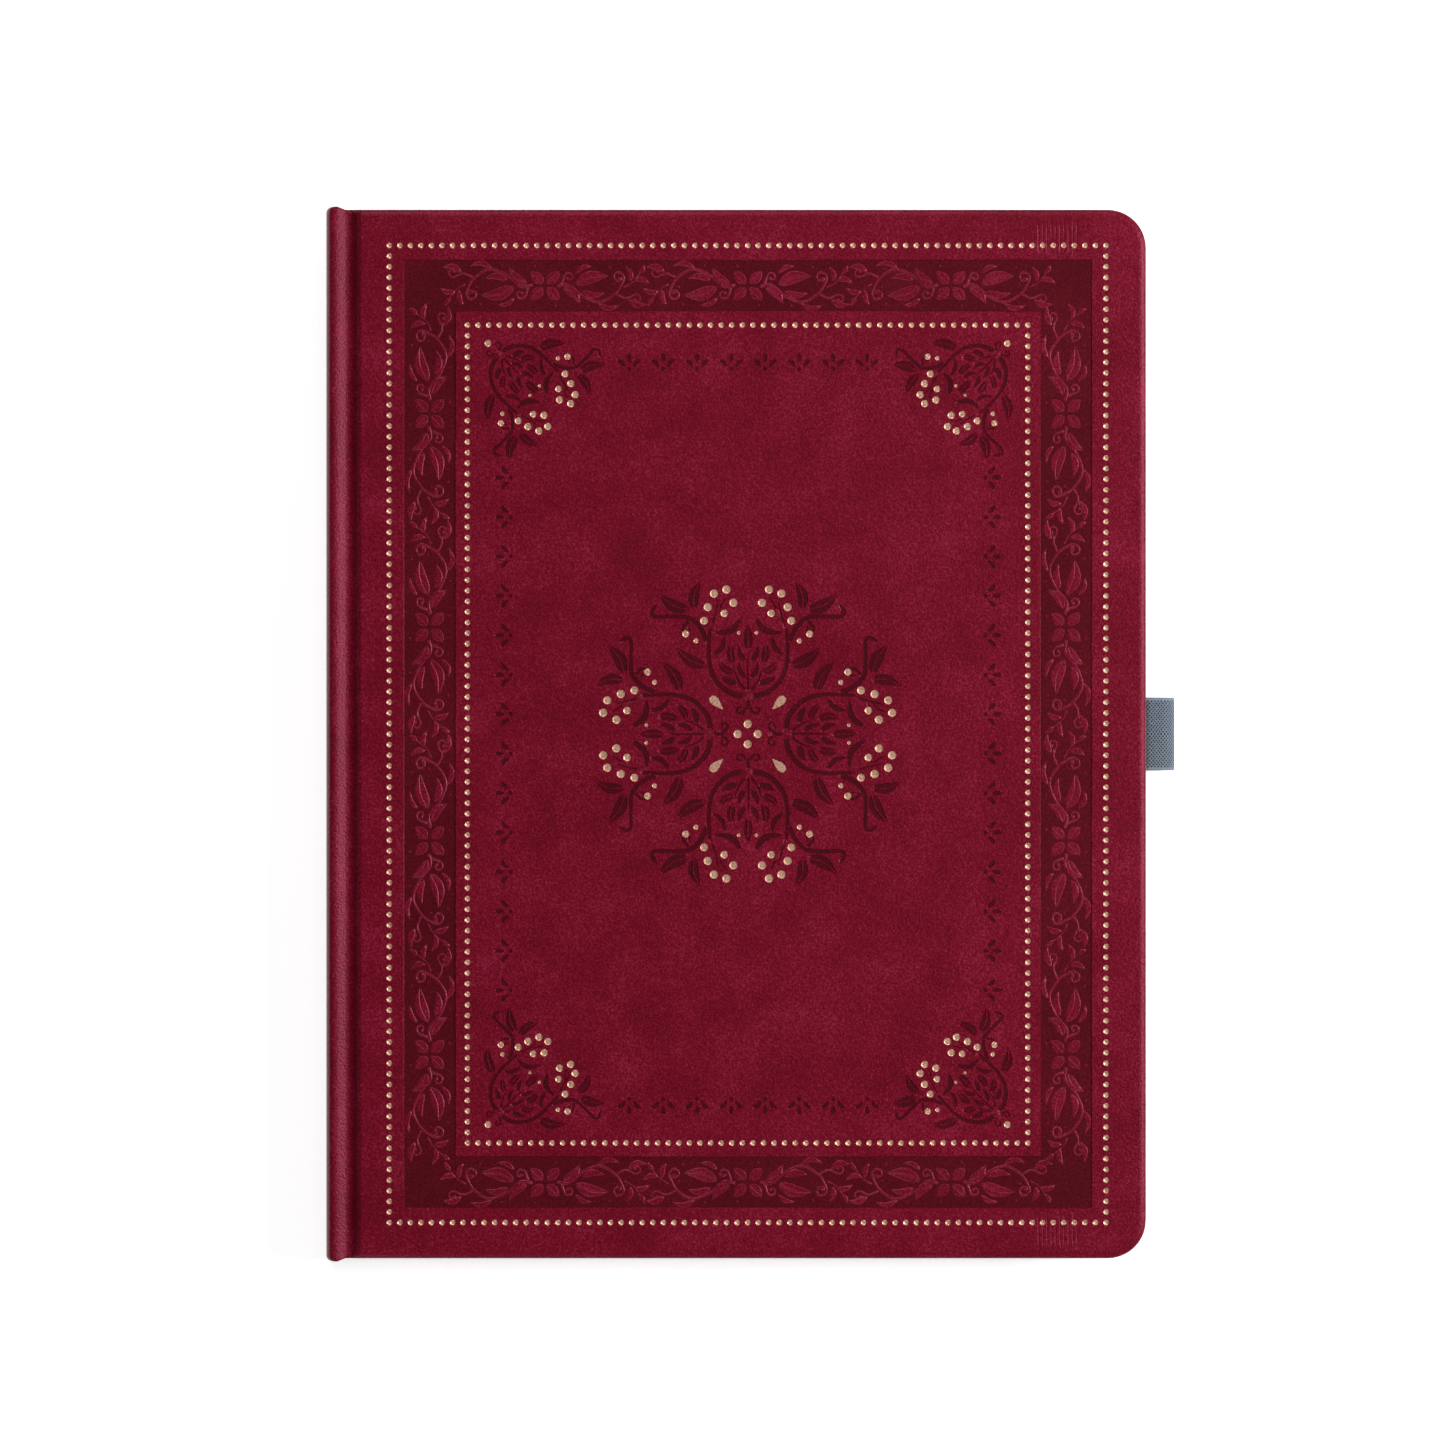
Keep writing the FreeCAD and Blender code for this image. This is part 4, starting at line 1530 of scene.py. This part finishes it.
@dataclass
class SpineLeather:
    """The leather round the spine: a flat back with rounded shoulders, turned in at head and tail.

    Attributes:
        book: the frame's places.
        round_r: radius of the shoulders.
        skin: the leather's thickness.
        cap_r: radius of its corners at head and tail.
        lip_r: radius of its rolled ends.
        flap_w: length of the turned-in flap.
        flap: where the flap lies behind the spine's face.
        flap_z: how far its ends lie in from the covers' outer faces.
        cap_x: where the rolled end starts behind the spine's face.
        cap_w: length of the rolled end.
    """

    book: BookFrame
    round_r: float = 3.5
    skin: float = 0.8
    cap_r: float = 1.7
    lip_r: float = 0.4
    flap_w: float = 12.0
    flap: Point = (1.85, 2.4)
    flap_z: float = 4.9
    cap_x: float = 1.7
    cap_w: float = 0.78

    def tuck(self, inset: float) -> float:
        """How far the back is drawn in, at a distance from the end, where the head cap rounds over."""
        short = max(0.0, self.cap_r - inset)
        return self.cap_r - sqrt(self.cap_r ** 2 - short ** 2)

    def taper(self, x: float) -> float:
        """How much shorter the leather gets towards the joint, where it meets the covers' ends."""
        start = self.book.spine_x + self.book.groove_u[0]
        share = min(1.0, max(0.0, (x - start) / (self.book.joint_x - start)))
        return 1 - share * (1 - self.book.cover_half / self.book.spine_half)

    def section(self, shrink: float) -> list[Point]:
        """The closed section, in x and z, thinned by an amount from both faces.

        Args:
            shrink: that amount.

        Returns:
            The outer line and back along the inner line.
        """
        book = self.book
        crest = book.spine_x + book.groove_u[0]
        loop = []
        for inset in (shrink, self.skin - shrink):
            across, down = book.groove_u[0] - inset, self.round_r - inset
            side = [(x, book.groove(x) + inset)
                    for x in (book.joint_x + (crest - book.joint_x) * k / 5 for k in range(5))]
            side += [(crest - across * sin(radians(a)),
                      book.groove_deep[0] + self.round_r - down * cos(radians(a)))
                     for a in range(0, 91, 9)]
            loop.append(side + [(x, book.top_z - z) for x, z in reversed(side)])
        return loop[0] + loop[1][::-1]

    def build(self, finishes: Finishes) -> Object:
        """Builds the piece, in the book's frame."""
        half = self.book.spine_half
        ends = [(half - self.lip_r * (1 - sin(radians(a))),
                 0.85 * self.lip_r * (1 - cos(radians(a)))) for a in (90, 68, 45, 22, 0)]
        ends += [(half - inset, 0.0) for inset in (0.65, 1.0, 1.5, 2.0)]
        stations = [(-y, shrink) for y, shrink in ends]
        stations += [(half * (k / 8 - 1), 0.0) for k in range(1, 16)]
        stations += [(y, shrink) for y, shrink in reversed(ends)]
        points, faces = [], []
        for y, shrink in stations:
            tuck = self.tuck(half - abs(y)) / (self.book.joint_x - self.book.spine_x)
            points += [(x + (self.book.joint_x - x) * tuck, y * self.taper(x), z)
                       for x, z in self.section(shrink)]
        count = len(points) // len(stations)
        for k in range(len(stations) - 1):
            for i in range(count):
                j = (i + 1) % count
                faces.append((k * count + i, k * count + j, (k + 1) * count + j, (k + 1) * count + i))
        pairs = count // 2
        last = (len(stations) - 1) * count
        for i in range(pairs - 1):
            faces.append((i, count - 1 - i, count - 2 - i, i + 1))
            faces.append((last + i, last + i + 1, last + count - 2 - i, last + count - 1 - i))
        shell = make_piece("spine_leather_turned_in", points, faces, [finishes.leather], smooth_deg=45)
        x, z = self.book.spine_x, self.flap_z
        flaps = []
        for side in (-1, 1):
            for name, start, length, inset, radius in (("flap", self.flap[0], self.flap_w, 0.05, 0.25),
                                                       ("cap", self.cap_x, self.cap_w, 0.02, 0.3)):
                y0, y1 = sorted((side * (half - length), side * (half - inset)))
                flaps.append(bevelled_box(name, (x + start, y0, z),
                                          (x + self.flap[1], y1, self.book.top_z - z), radius,
                                          finishes.leather))
        return join(shell, flaps)


# ---- paper
class Endpaper(Enum):
    """A leaf between the text and a cover, free or pasted down."""

    FLYLEAF = "flyleaf"
    PASTEDOWN = "pastedown"


class End(Enum):
    """An end of the spine."""

    HEAD = "head"
    TAIL = "tail"


@dataclass
class TextBlock:
    """Ten sewn signatures of four folded sheets, with a flyleaf and a pastedown at each end.

    Attributes:
        book: the frame's places.
        signatures: how many there are.
        sheets: folded sheets in a signature.
        paper: a sheet's thickness.
        pitch: from leaf to leaf.
        corner_r: radius of the leaves' corners.
        uneven: how far leaves differ at the edges.
        turning: body names for the outer signatures, by number; these are not fixed to the text block.
        flex: the stretch, from the spine's face, across which leaves get edges.
        hinge: where the pastedown starts, and the stretch across which it gets edges, from the spine's face.
    """

    book: BookFrame
    signatures: int = 10
    sheets: int = 4
    paper: float = 0.18
    pitch: float = 0.2
    corner_r: float = 8.0
    uneven: float = 0.12
    turning: dict[int, str] = field(default_factory=lambda: {
        1: "leaves_01", 2: "leaves_02", 7: "leaves_07", 8: "leaves_08", 9: "leaves_09", 10: "leaves_10"})
    flex: Point = (5.0, 20.0)
    hinge: Point = (4.3, 8.8)

    def from_spine(self, u: float) -> float:
        """The x of a distance from the spine's face."""
        return self.book.spine_x + u

    def sheet_of_paper(self, low_x: float, z: float, columns: Sequence[float]) -> Object:
        """Cuts one flat leaf with round fore-edge corners.

        Args:
            low_x: its edge at the spine.
            z: its height.
            columns: where it gets edges across, as x.

        Returns:
            The leaf, without thickness.
        """
        leaf_piece = self.flat(low_x, z)
        self.round_corners(leaf_piece)
        self.crease(leaf_piece, columns)
        return leaf_piece

    def flat(self, low_x: float, z: float) -> Object:
        """A square leaf from a place to the fore-edge, at a height."""
        book = self.book
        bpy.ops.mesh.primitive_plane_add(size=1, location=((low_x + book.page_x) / 2 * MM, 0, z * MM))
        bpy.context.object.scale = ((book.page_x - low_x) * MM, 2 * book.page_half * MM, 1)
        place_down(bpy.context.object)
        return bpy.context.object

    def round_corners(self, piece: Object) -> None:
        """Rounds the corners at the fore-edge."""
        select(piece, "VERT", lambda p: p.x > self.book.page_x - 0.01)
        bpy.ops.mesh.bevel(offset=self.corner_r * MM, offset_type="OFFSET", segments=6, affect="VERTICES")
        object_mode()

    def crease(self, piece: Object, columns: Sequence[float]) -> None:
        """Adds an edge across the piece at each column."""
        only(piece)
        bpy.ops.object.mode_set(mode="EDIT")
        for x in columns:
            bpy.ops.mesh.select_all(action="SELECT")
            bpy.ops.mesh.bisect(plane_co=(x * MM, 0, 0), plane_no=(1, 0, 0))
        object_mode()

    def folded_sheet(self, nest: int) -> Object:
        """Folds one sheet of a signature round the height 0.

        Args:
            nest: its place, from 0 outside.

        Returns:
            The sheet, with its thickness.
        """
        book = self.book
        outer = self.pitch * self.sheets - (self.pitch - self.paper) / 2
        radius = outer - self.paper / 2 - self.pitch * nest
        fold_x = book.text_x + outer
        piece = self.flat(fold_x, -radius)
        select(piece, "EDGE", lambda p: p.x < fold_x + 0.001)
        bpy.ops.mesh.spin(steps=6, angle=pi, center=(fold_x * MM, 0, 0), axis=(0, 1, 0))
        bpy.ops.mesh.extrude_region_move(TRANSFORM_OT_translate={
            "value": ((book.page_x - fold_x) * MM, 0, 0)})
        self.round_corners(piece)
        self.crease(piece, self.flex_columns())
        turn_outwards(piece, merge=True)
        modify(piece, "SOLIDIFY", thickness=self.paper * MM, offset=0.0)
        return piece

    def flex_columns(self) -> list[float]:
        """Where leaves get an edge across."""
        first, last = self.flex
        return [self.from_spine(first + (last - first) * k / 8) for k in range(9)]

    def signature(self, number: int, folded: Sequence[Object], paper: Material,
                  shuffle: random.Random) -> Object:
        """Gathers one signature from copies of the folded sheets.

        Args:
            number: from 1, at the back.
            folded: one folded sheet of each size.
            paper: the paper.
            shuffle: the source of uneven edges.

        Returns:
            The signature in its place.
        """
        low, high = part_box(f"signature_{number:02d}")
        middle = (low.z + high.z) / 2
        copies = []
        for sheet in folded:
            copy = sheet.copy()
            copy.data = sheet.data.copy()
            bpy.context.scene.collection.objects.link(copy)
            wider = [shuffle.uniform(-self.uneven, 0) * MM for _ in range(2)]
            taller = [shuffle.uniform(-self.uneven, 0) * MM for _ in range(2)]
            for vertex in copy.data.vertices:
                upper = vertex.co.z > 0
                vertex.co.x += wider[upper] * max(0.0, vertex.co.x / (self.book.page_x * MM))
                vertex.co.y *= 1 + taller[upper] / (self.book.page_half * MM)
                vertex.co.z += middle
            copies.append(copy)
        name = f"sewn_signature_{number:02d}"
        gathered = join(copies[0], copies[1:])
        gathered.name = gathered.data.name = name
        gathered.data.materials.append(paper)
        smooth(gathered, 40)
        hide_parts(f"signature_{number:02d}")
        self.attach(gathered, self.turning.get(number))
        return gathered

    def attach(self, piece: Object, body: str | None) -> None:
        """Fixes a piece to the text block, or, for a piece of a body that turns, only moves its place into
        its mesh.

        Args:
            piece: the piece.
            body: the body that turns, if any.
        """
        if body is None:
            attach(piece, "text_block")
            return
        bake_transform(piece)

    def endpaper(self, side: Side, kind: Endpaper, paper: Material) -> Object:
        """Makes a flyleaf or a pastedown.

        Args:
            side: the cover it belongs to.
            kind: which of its two leaves.
            paper: the endpaper.

        Returns:
            The sheet in its place.
        """
        node = f"{side.value}_{kind.value}"
        low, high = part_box(node)
        middle = (low.z + high.z) / 2
        if kind is Endpaper.FLYLEAF:
            start, columns, bend, body = self.book.text_x, self.flex_columns(), self.flex, node
        else:
            start, bend, body = self.from_spine(self.hinge[0]), self.hinge, f"{side.value}_cover"
            columns = [self.from_spine(bend[0] + (bend[1] - bend[0]) * k / 9) for k in range(1, 10)]
        piece = self.sheet_of_paper(start, middle / MM, columns)
        modify(piece, "SOLIDIFY", thickness=high.z - low.z, offset=0.0)
        piece.name = piece.data.name = f"{node}_paper"
        piece.data.materials.append(paper)
        smooth(piece, 40)
        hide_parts(node)
        self.attach(piece, body)
        return piece

    def build(self, finishes: Finishes) -> list[Object]:
        """Builds all the paper."""
        shuffle = random.Random(11)
        folded = [self.folded_sheet(nest) for nest in range(self.sheets)]
        made = [self.signature(n + 1, folded, finishes.text_paper, shuffle) for n in range(self.signatures)]
        for sheet in folded:
            bpy.data.objects.remove(sheet)
        for side in Side:
            made += [self.endpaper(side, kind, finishes.endpaper) for kind in Endpaper]
        return made


@dataclass
class EndBand:
    """A sewn end band: a bead wrapped in thread, on a cloth strip glued down the back.

    Attributes:
        end: the end of the spine that it is at.
        bead_r: the bead's radius.
        dip: its radius between two turns of thread, as a share of that.
        thread_w: width of one turn of thread.
        cloth_t: the strip's thickness.
    """

    end: End
    bead_r: float = 0.9
    dip: float = 0.9
    thread_w: float = 0.34
    cloth_t: float = 0.35

    def build(self, cloth: Material) -> Object:
        """Builds the band in its place."""
        head = self.end is End.HEAD
        low, high = (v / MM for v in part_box(f"{self.end.value}_band"))
        outer, side = (high.y, 1) if head else (low.y, -1)
        x, y = (low.x + high.x) / 2, outer - side * self.bead_r
        turns = round((high.z - low.z) / self.thread_w)
        step = (high.z - low.z) / (2 * turns)
        bpy.ops.mesh.primitive_circle_add(vertices=14, radius=self.bead_r * self.dip * MM, fill_type="NGON",
                                          location=(x * MM, y * MM, low.z * MM))
        bead = bpy.context.object
        place_down(bead)
        bpy.ops.object.mode_set(mode="EDIT")
        bpy.ops.mesh.select_all(action="SELECT")
        for k in range(2 * turns):
            grow = self.dip if k % 2 else 1 / self.dip
            bpy.ops.mesh.extrude_region_move(TRANSFORM_OT_translate={"value": (0, 0, step * MM)})
            bpy.ops.transform.resize(value=(grow, grow, 1), center_override=(x * MM, y * MM, 0))
        object_mode()
        turn_outwards(bead)
        bead.data.materials.append(cloth)
        y0, y1 = sorted((y, low.y if head else high.y))
        strip = bevelled_box("strip", (low.x, y0, low.z), (low.x + self.cloth_t, y1, high.z), 0.1, cloth)
        band = join(bead, [strip])
        band.name = band.data.name = f"{self.end.value}_band_of_wrapped_thread"
        smooth(band, 60)
        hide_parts(f"{self.end.value}_band")
        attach(band, "text_block")
        return band


# ---- elastics
@dataclass
class Strap:
    """A woven strap along a line, with its width across the line's plane.

    Attributes:
        name: the piece's name.
        line: its middle line.
        across_axis: the direction of its width.
        half: half its width.
        thickness: its thickness.
        closed: whether the line closes on itself.
        across: steps across the width.
    """

    name: str
    line: Sequence[Place]
    across_axis: Place
    half: float
    thickness: float = 0.9
    closed: bool = False
    across: int = 8

    def build(self, elastic: Material) -> Object:
        """Builds the strap with its map in millimetres along and across."""
        count = len(self.line)
        points, run = [], [0.0]
        for i, place in enumerate(self.line):
            for k in range(self.across + 1):
                shift = self.half * (2 * k / self.across - 1)
                points.append(tuple(p + a * shift for p, a in zip(place, self.across_axis)))
            run.append(run[-1] + dist(place, self.line[(i + 1) % count]))
        width = self.across + 1
        faces, places = [], []
        for i in range(count if self.closed else count - 1):
            j = (i + 1) % count
            for k in range(self.across):
                faces.append((i * width + k, i * width + k + 1, j * width + k + 1, j * width + k))
                v0, v1 = (self.half * (1 - abs(2 * m / self.across - 1)) for m in (k, k + 1))
                places += [(run[i], v0), (run[i], v1), (run[i + 1], v1), (run[i + 1], v0)]
        piece = link_mesh(self.name, points, faces)
        layer = piece.data.uv_layers.new(name="strap")
        layer.uv.foreach_set("vector", [v for place in places for v in place])
        piece.data.materials.append(elastic)
        modify(piece, "SOLIDIFY", thickness=self.thickness * MM, offset=0.0, use_even_offset=True)
        modify(piece, "BEVEL", width=0.25 * MM, segments=2, limit_method="ANGLE", angle_limit=radians(60))
        turn_outwards(piece)
        smooth(piece, 50)
        return piece


@dataclass
class Elastics:
    """The pen loop at the fore-edge and the closure band parked round the back cover.

    Attributes:
        book: the frame's places.
        thickness: the elastic's thickness.
        loop_half: half the loop's width.
        loop_reach: how far the loop stands out.
        loop_height: its height.
        loop_base: its lowest z.
        neck_r: its bend over the cover's edge.
        band_in: the band's middle, in from the fore-edge.
        band_half: half its width.
        band_end: where the band goes through the cover.
        band_low: its outer face's z.
        tail_w: how long its glued tails are.
        fold_r: the middle line's radius in a tight fold.
    """

    book: BookFrame
    thickness: float = 0.9
    loop_half: float = 10.0
    loop_reach: float = 8.2
    loop_height: float = 7.0
    loop_base: float = 1.7
    neck_r: float = 1.9
    band_in: float = 24.2
    band_half: float = 5.0
    band_end: float = 123.45
    band_low: float = 0.1
    tail_w: float = 22.0
    fold_r: float = 0.5

    def arc(self, centre: Point, radius: float, first: float, last: float, steps: int) -> list[Point]:
        """Points round an arc, by degrees."""
        turns = [radians(first + (last - first) * k / steps) for k in range(steps + 1)]
        return [(centre[0] + radius * cos(t), centre[1] + radius * sin(t)) for t in turns]

    def pen_loop(self, finishes: Finishes) -> Object:
        """Builds the loop, which closes at the cover."""
        half_t = self.thickness / 2
        near = self.book.fore_x + 0.1 + half_t
        low, high = self.loop_base + half_t, self.loop_base + self.loop_height - half_t
        end_r = (high - low) / 2
        end_x = self.book.fore_x + self.loop_reach - half_t - end_r
        neck = self.neck_r - half_t
        corner = self.fold_r
        outline = self.arc((near + corner, low + corner), corner, 180, 270, 3)
        outline += [((near + end_x) / 2, low)]
        outline += self.arc((end_x, low + end_r), end_r, -90, 90, 12)
        outline += [((near + neck + end_x) / 2, high)]
        outline += self.arc((near + neck, high - neck), neck, 90, 180, 5)
        outline += [(near, (low + high) / 2)]
        line = [(x, 0.0, z) for x, z in outline]
        piece = Strap("woven_pen_loop", line, (0, 1, 0), self.loop_half, self.thickness,
                      closed=True).build(finishes.elastic)
        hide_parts("pen_loop")
        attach(piece, "pen_loop")
        return piece

    def closure_band(self, finishes: Finishes) -> Object:
        """Builds the band in its channel, with its ends through the cover."""
        half_t = self.thickness / 2
        outer = self.band_end - half_t
        low, high = self.band_low + half_t, self.book.inner_z - half_t
        corner = self.fold_r
        profile = [(outer - self.tail_w + half_t, high)]
        profile += self.arc((outer - corner, high - corner), corner, 90, 0, 3)
        profile += self.arc((outer - corner, low + corner), corner, 0, -90, 3)
        run = [(y, low) for y in (90.0, 60.0, 30.0, 0.0)]
        outline = profile + run + [(-y, z) for y, z in reversed(profile + run[:-1])]
        x = self.book.fore_x - self.band_in
        piece = Strap("woven_closure_band", [(x, y, z) for y, z in outline], (1, 0, 0), self.band_half,
                      self.thickness).build(finishes.elastic)
        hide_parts("closure_band")
        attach(piece, "back_cover")
        return piece


# ---- whole book
@dataclass
class Case:
    """The leather case: two covers and the spine.

    Attributes:
        book: the frame's places.
        joint: where a cover's joint lies, from the spine's face; it is not used.
        groove_depth: depth of the joint's groove; it is not used.
    """

    book: BookFrame
    joint: Point = (5.3, 8.8)
    groove_depth: float = 2.0

    def build(self, finishes: Finishes) -> list[Object]:
        """Builds the case's leathers."""
        made = []
        for side, ornament in ((Side.BACK, None), (Side.FRONT, Ornament())):
            piece = CaseLeather(self.book, side).build(finishes, ornament)
            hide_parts(f"{side.value}_leather", f"{side.value}_joint_leather")
            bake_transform(piece)
            made.append(piece)
        spine = SpineLeather(self.book).build(finishes)
        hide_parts("spine_leather")
        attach(spine, "text_block")
        made.append(spine)
        return made


@dataclass
class HiddenParts:
    """The boards, cards, cloth, liner, threads and glued ends, which keep their frame shapes."""

    def dress(self, finishes: Finishes) -> list[str]:
        """Gives each hidden part its finish, and returns their names."""
        by_finish = ((finishes.board, ("back_board", "front_board", "back_infill_card", "front_infill_card",
                                       "spine_liner")),
                     (finishes.gauze, ("back_hinge_cloth", "front_hinge_cloth", "mull")),
                     (finishes.thread, ("sewing_threads",)),
                     (finishes.hidden_elastic, ("pen_loop_ends",)))
        names = []
        for finish, nodes in by_finish:
            for node in nodes:
                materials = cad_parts[node].data.materials
                materials.clear()
                materials.append(finish)
                names.append(node)
        return names


# ---- studio
@dataclass
class Studio:
    """A white floor, soft lights from both sides and a camera straight above the book.

    Attributes:
        centre: the place under the camera, in millimetres.
        view_w: width of what the camera sees at the front cover, in millimetres.
        distance: the camera's height over the front cover, in metres.
        world: the ambient level.
        sensor: the camera's sensor width, in millimetres.
        floor_w: the floor's width, in metres.
        glow: the floor's own light near the book and far away.
        glow_from: distances from the book, in metres, between which that light grows.
        lights: place in metres, size in metres and power in watts of each soft light.
    """

    centre: Point = (-3.68, 3.14)
    view_w: float = 394.0
    distance: float = 5.0
    world: float = 0.12
    sensor: float = 36.0
    floor_w: float = 24.0
    glow: Point = (0.6, 1.0)
    glow_from: Point = (0.8, 2.4)
    lights: tuple[tuple[Place, float, float], ...] = (
        ((0.9, 0.12, 0.85), 0.7, 16.5),
        ((-0.25, 1.1, 1.05), 0.8, 8.5),
        ((-0.5, -1.3, 0.9), 0.9, 5.0),
    )

    def build(self, top_z: float) -> None:
        """Builds the whole studio round a book of a height."""
        self.floor()
        self.sky()
        for number, (place, size, power) in enumerate(self.lights):
            self.softbox(f"softbox_{number + 1}", place, size, power)
        self.camera(top_z)

    def floor(self) -> None:
        """Lays the floor, white to the eye and in reflections, which keeps the shadow."""
        bpy.ops.mesh.primitive_plane_add(size=self.floor_w, location=(0, 0, -0.4 * MM))
        floor = bpy.context.object
        floor.name = "studio_floor"
        material, tree, _ = new_material("matt_white_paper_sweep")
        path = add_node(tree, "LightPath").outputs
        seen = add_node(tree, "Math", {"operation": "MAXIMUM"}, in0=path["Is Camera Ray"],
                        in1=path["Is Glossy Ray"])
        seen = add_node(tree, "Math", {"operation": "MAXIMUM"}, in0=seen,
                        in1=path["Is Transmission Ray"])
        place = add_node(tree, "NewGeometry").outputs["Position"]
        away = add_node(tree, "VectorMath", {"operation": "LENGTH"}, in0=place)
        level = add_node(tree, "MapRange", dict(zip(("From Min", "From Max", "To Min", "To Max"),
                                                    self.glow_from + self.glow)),
                         Value=away.outputs["Value"])
        level = add_node(tree, "Math", {"operation": "MULTIPLY"}, in0=seen,
                         in1=level)
        paper = add_node(tree, "BsdfDiffuse", {"Color": linear("#f4f4f4")})
        glow = add_node(tree, "Emission", {"Color": linear("#ffffff")}, Strength=level)
        both = add_node(tree, "AddShader", in0=paper, in1=glow)
        add_node(tree, "OutputMaterial", Surface=both)
        floor.data.materials.append(material)

    def sky(self) -> None:
        """Sets an even pale room, which is white to the eye."""
        world = bpy.data.worlds.new("soft_room")
        world.use_nodes = True
        tree = world.node_tree
        tree.nodes.clear()
        path = add_node(tree, "LightPath").outputs
        seen = add_node(tree, "Math", {"operation": "MAXIMUM"}, in0=path["Is Camera Ray"],
                        in1=path["Is Transmission Ray"])
        level = add_node(tree, "Math", {"operation": "MAXIMUM", 1: self.world}, in0=seen)
        room = add_node(tree, "Background", {"Color": linear("#ffffff")}, Strength=level)
        add_node(tree, "OutputWorld", Surface=room)
        bpy.context.scene.world = world

    def softbox(self, name: str, place: Place, size: float, power: float) -> None:
        """Hangs one large soft light that faces the book.

        Args:
            name: the light's name.
            place: its place, in metres.
            size: its width, in metres.
            power: its power, in watts.
        """
        light = bpy.data.lights.new(name, "AREA")
        light.shape = "DISK"
        light.size = size
        light.energy = power
        lamp = bpy.data.objects.new(name, light)
        lamp.location = place
        lamp.rotation_euler = (-Vector(place)).to_track_quat("-Z", "Y").to_euler()
        bpy.context.scene.collection.objects.link(lamp)

    def camera(self, top_z: float) -> None:
        """Sets the camera, and the plain colour transform."""
        data = bpy.data.cameras.new("overhead_camera")
        data.sensor_width = self.sensor
        data.lens = self.sensor * self.distance / (self.view_w * MM)
        data.clip_end = 100
        camera = bpy.data.objects.new("overhead_camera", data)
        camera.location = (self.centre[0] * MM, self.centre[1] * MM, top_z * MM + self.distance)
        bpy.context.scene.collection.objects.link(camera)
        bpy.context.scene.camera = camera
        bpy.context.scene.view_settings.view_transform = "Standard"


def main() -> None:
    """Builds the book piece by piece, and then the studio."""
    logging.basicConfig(level=logging.INFO, format="%(message)s")
    book = BookFrame.read()
    finishes = Finishes()
    for piece in Case(book).build(finishes):
        LOG.info("case: %s, %d faces", piece.name, len(piece.data.polygons))
    for piece in TextBlock(book).build(finishes):
        LOG.info("paper: %s, %d faces", piece.name, len(piece.data.polygons))
    for end in End:
        LOG.info("band: %s", EndBand(end).build(finishes.band_cloth).name)
    elastics = Elastics(book)
    for piece in (elastics.pen_loop(finishes), elastics.closure_band(finishes)):
        LOG.info("elastic: %s, %d faces", piece.name, len(piece.data.polygons))
    LOG.info("dressed: %s", ", ".join(HiddenParts().dress(finishes)))
    Studio().build(book.top_z)


if __name__ == "__main__":
    main()
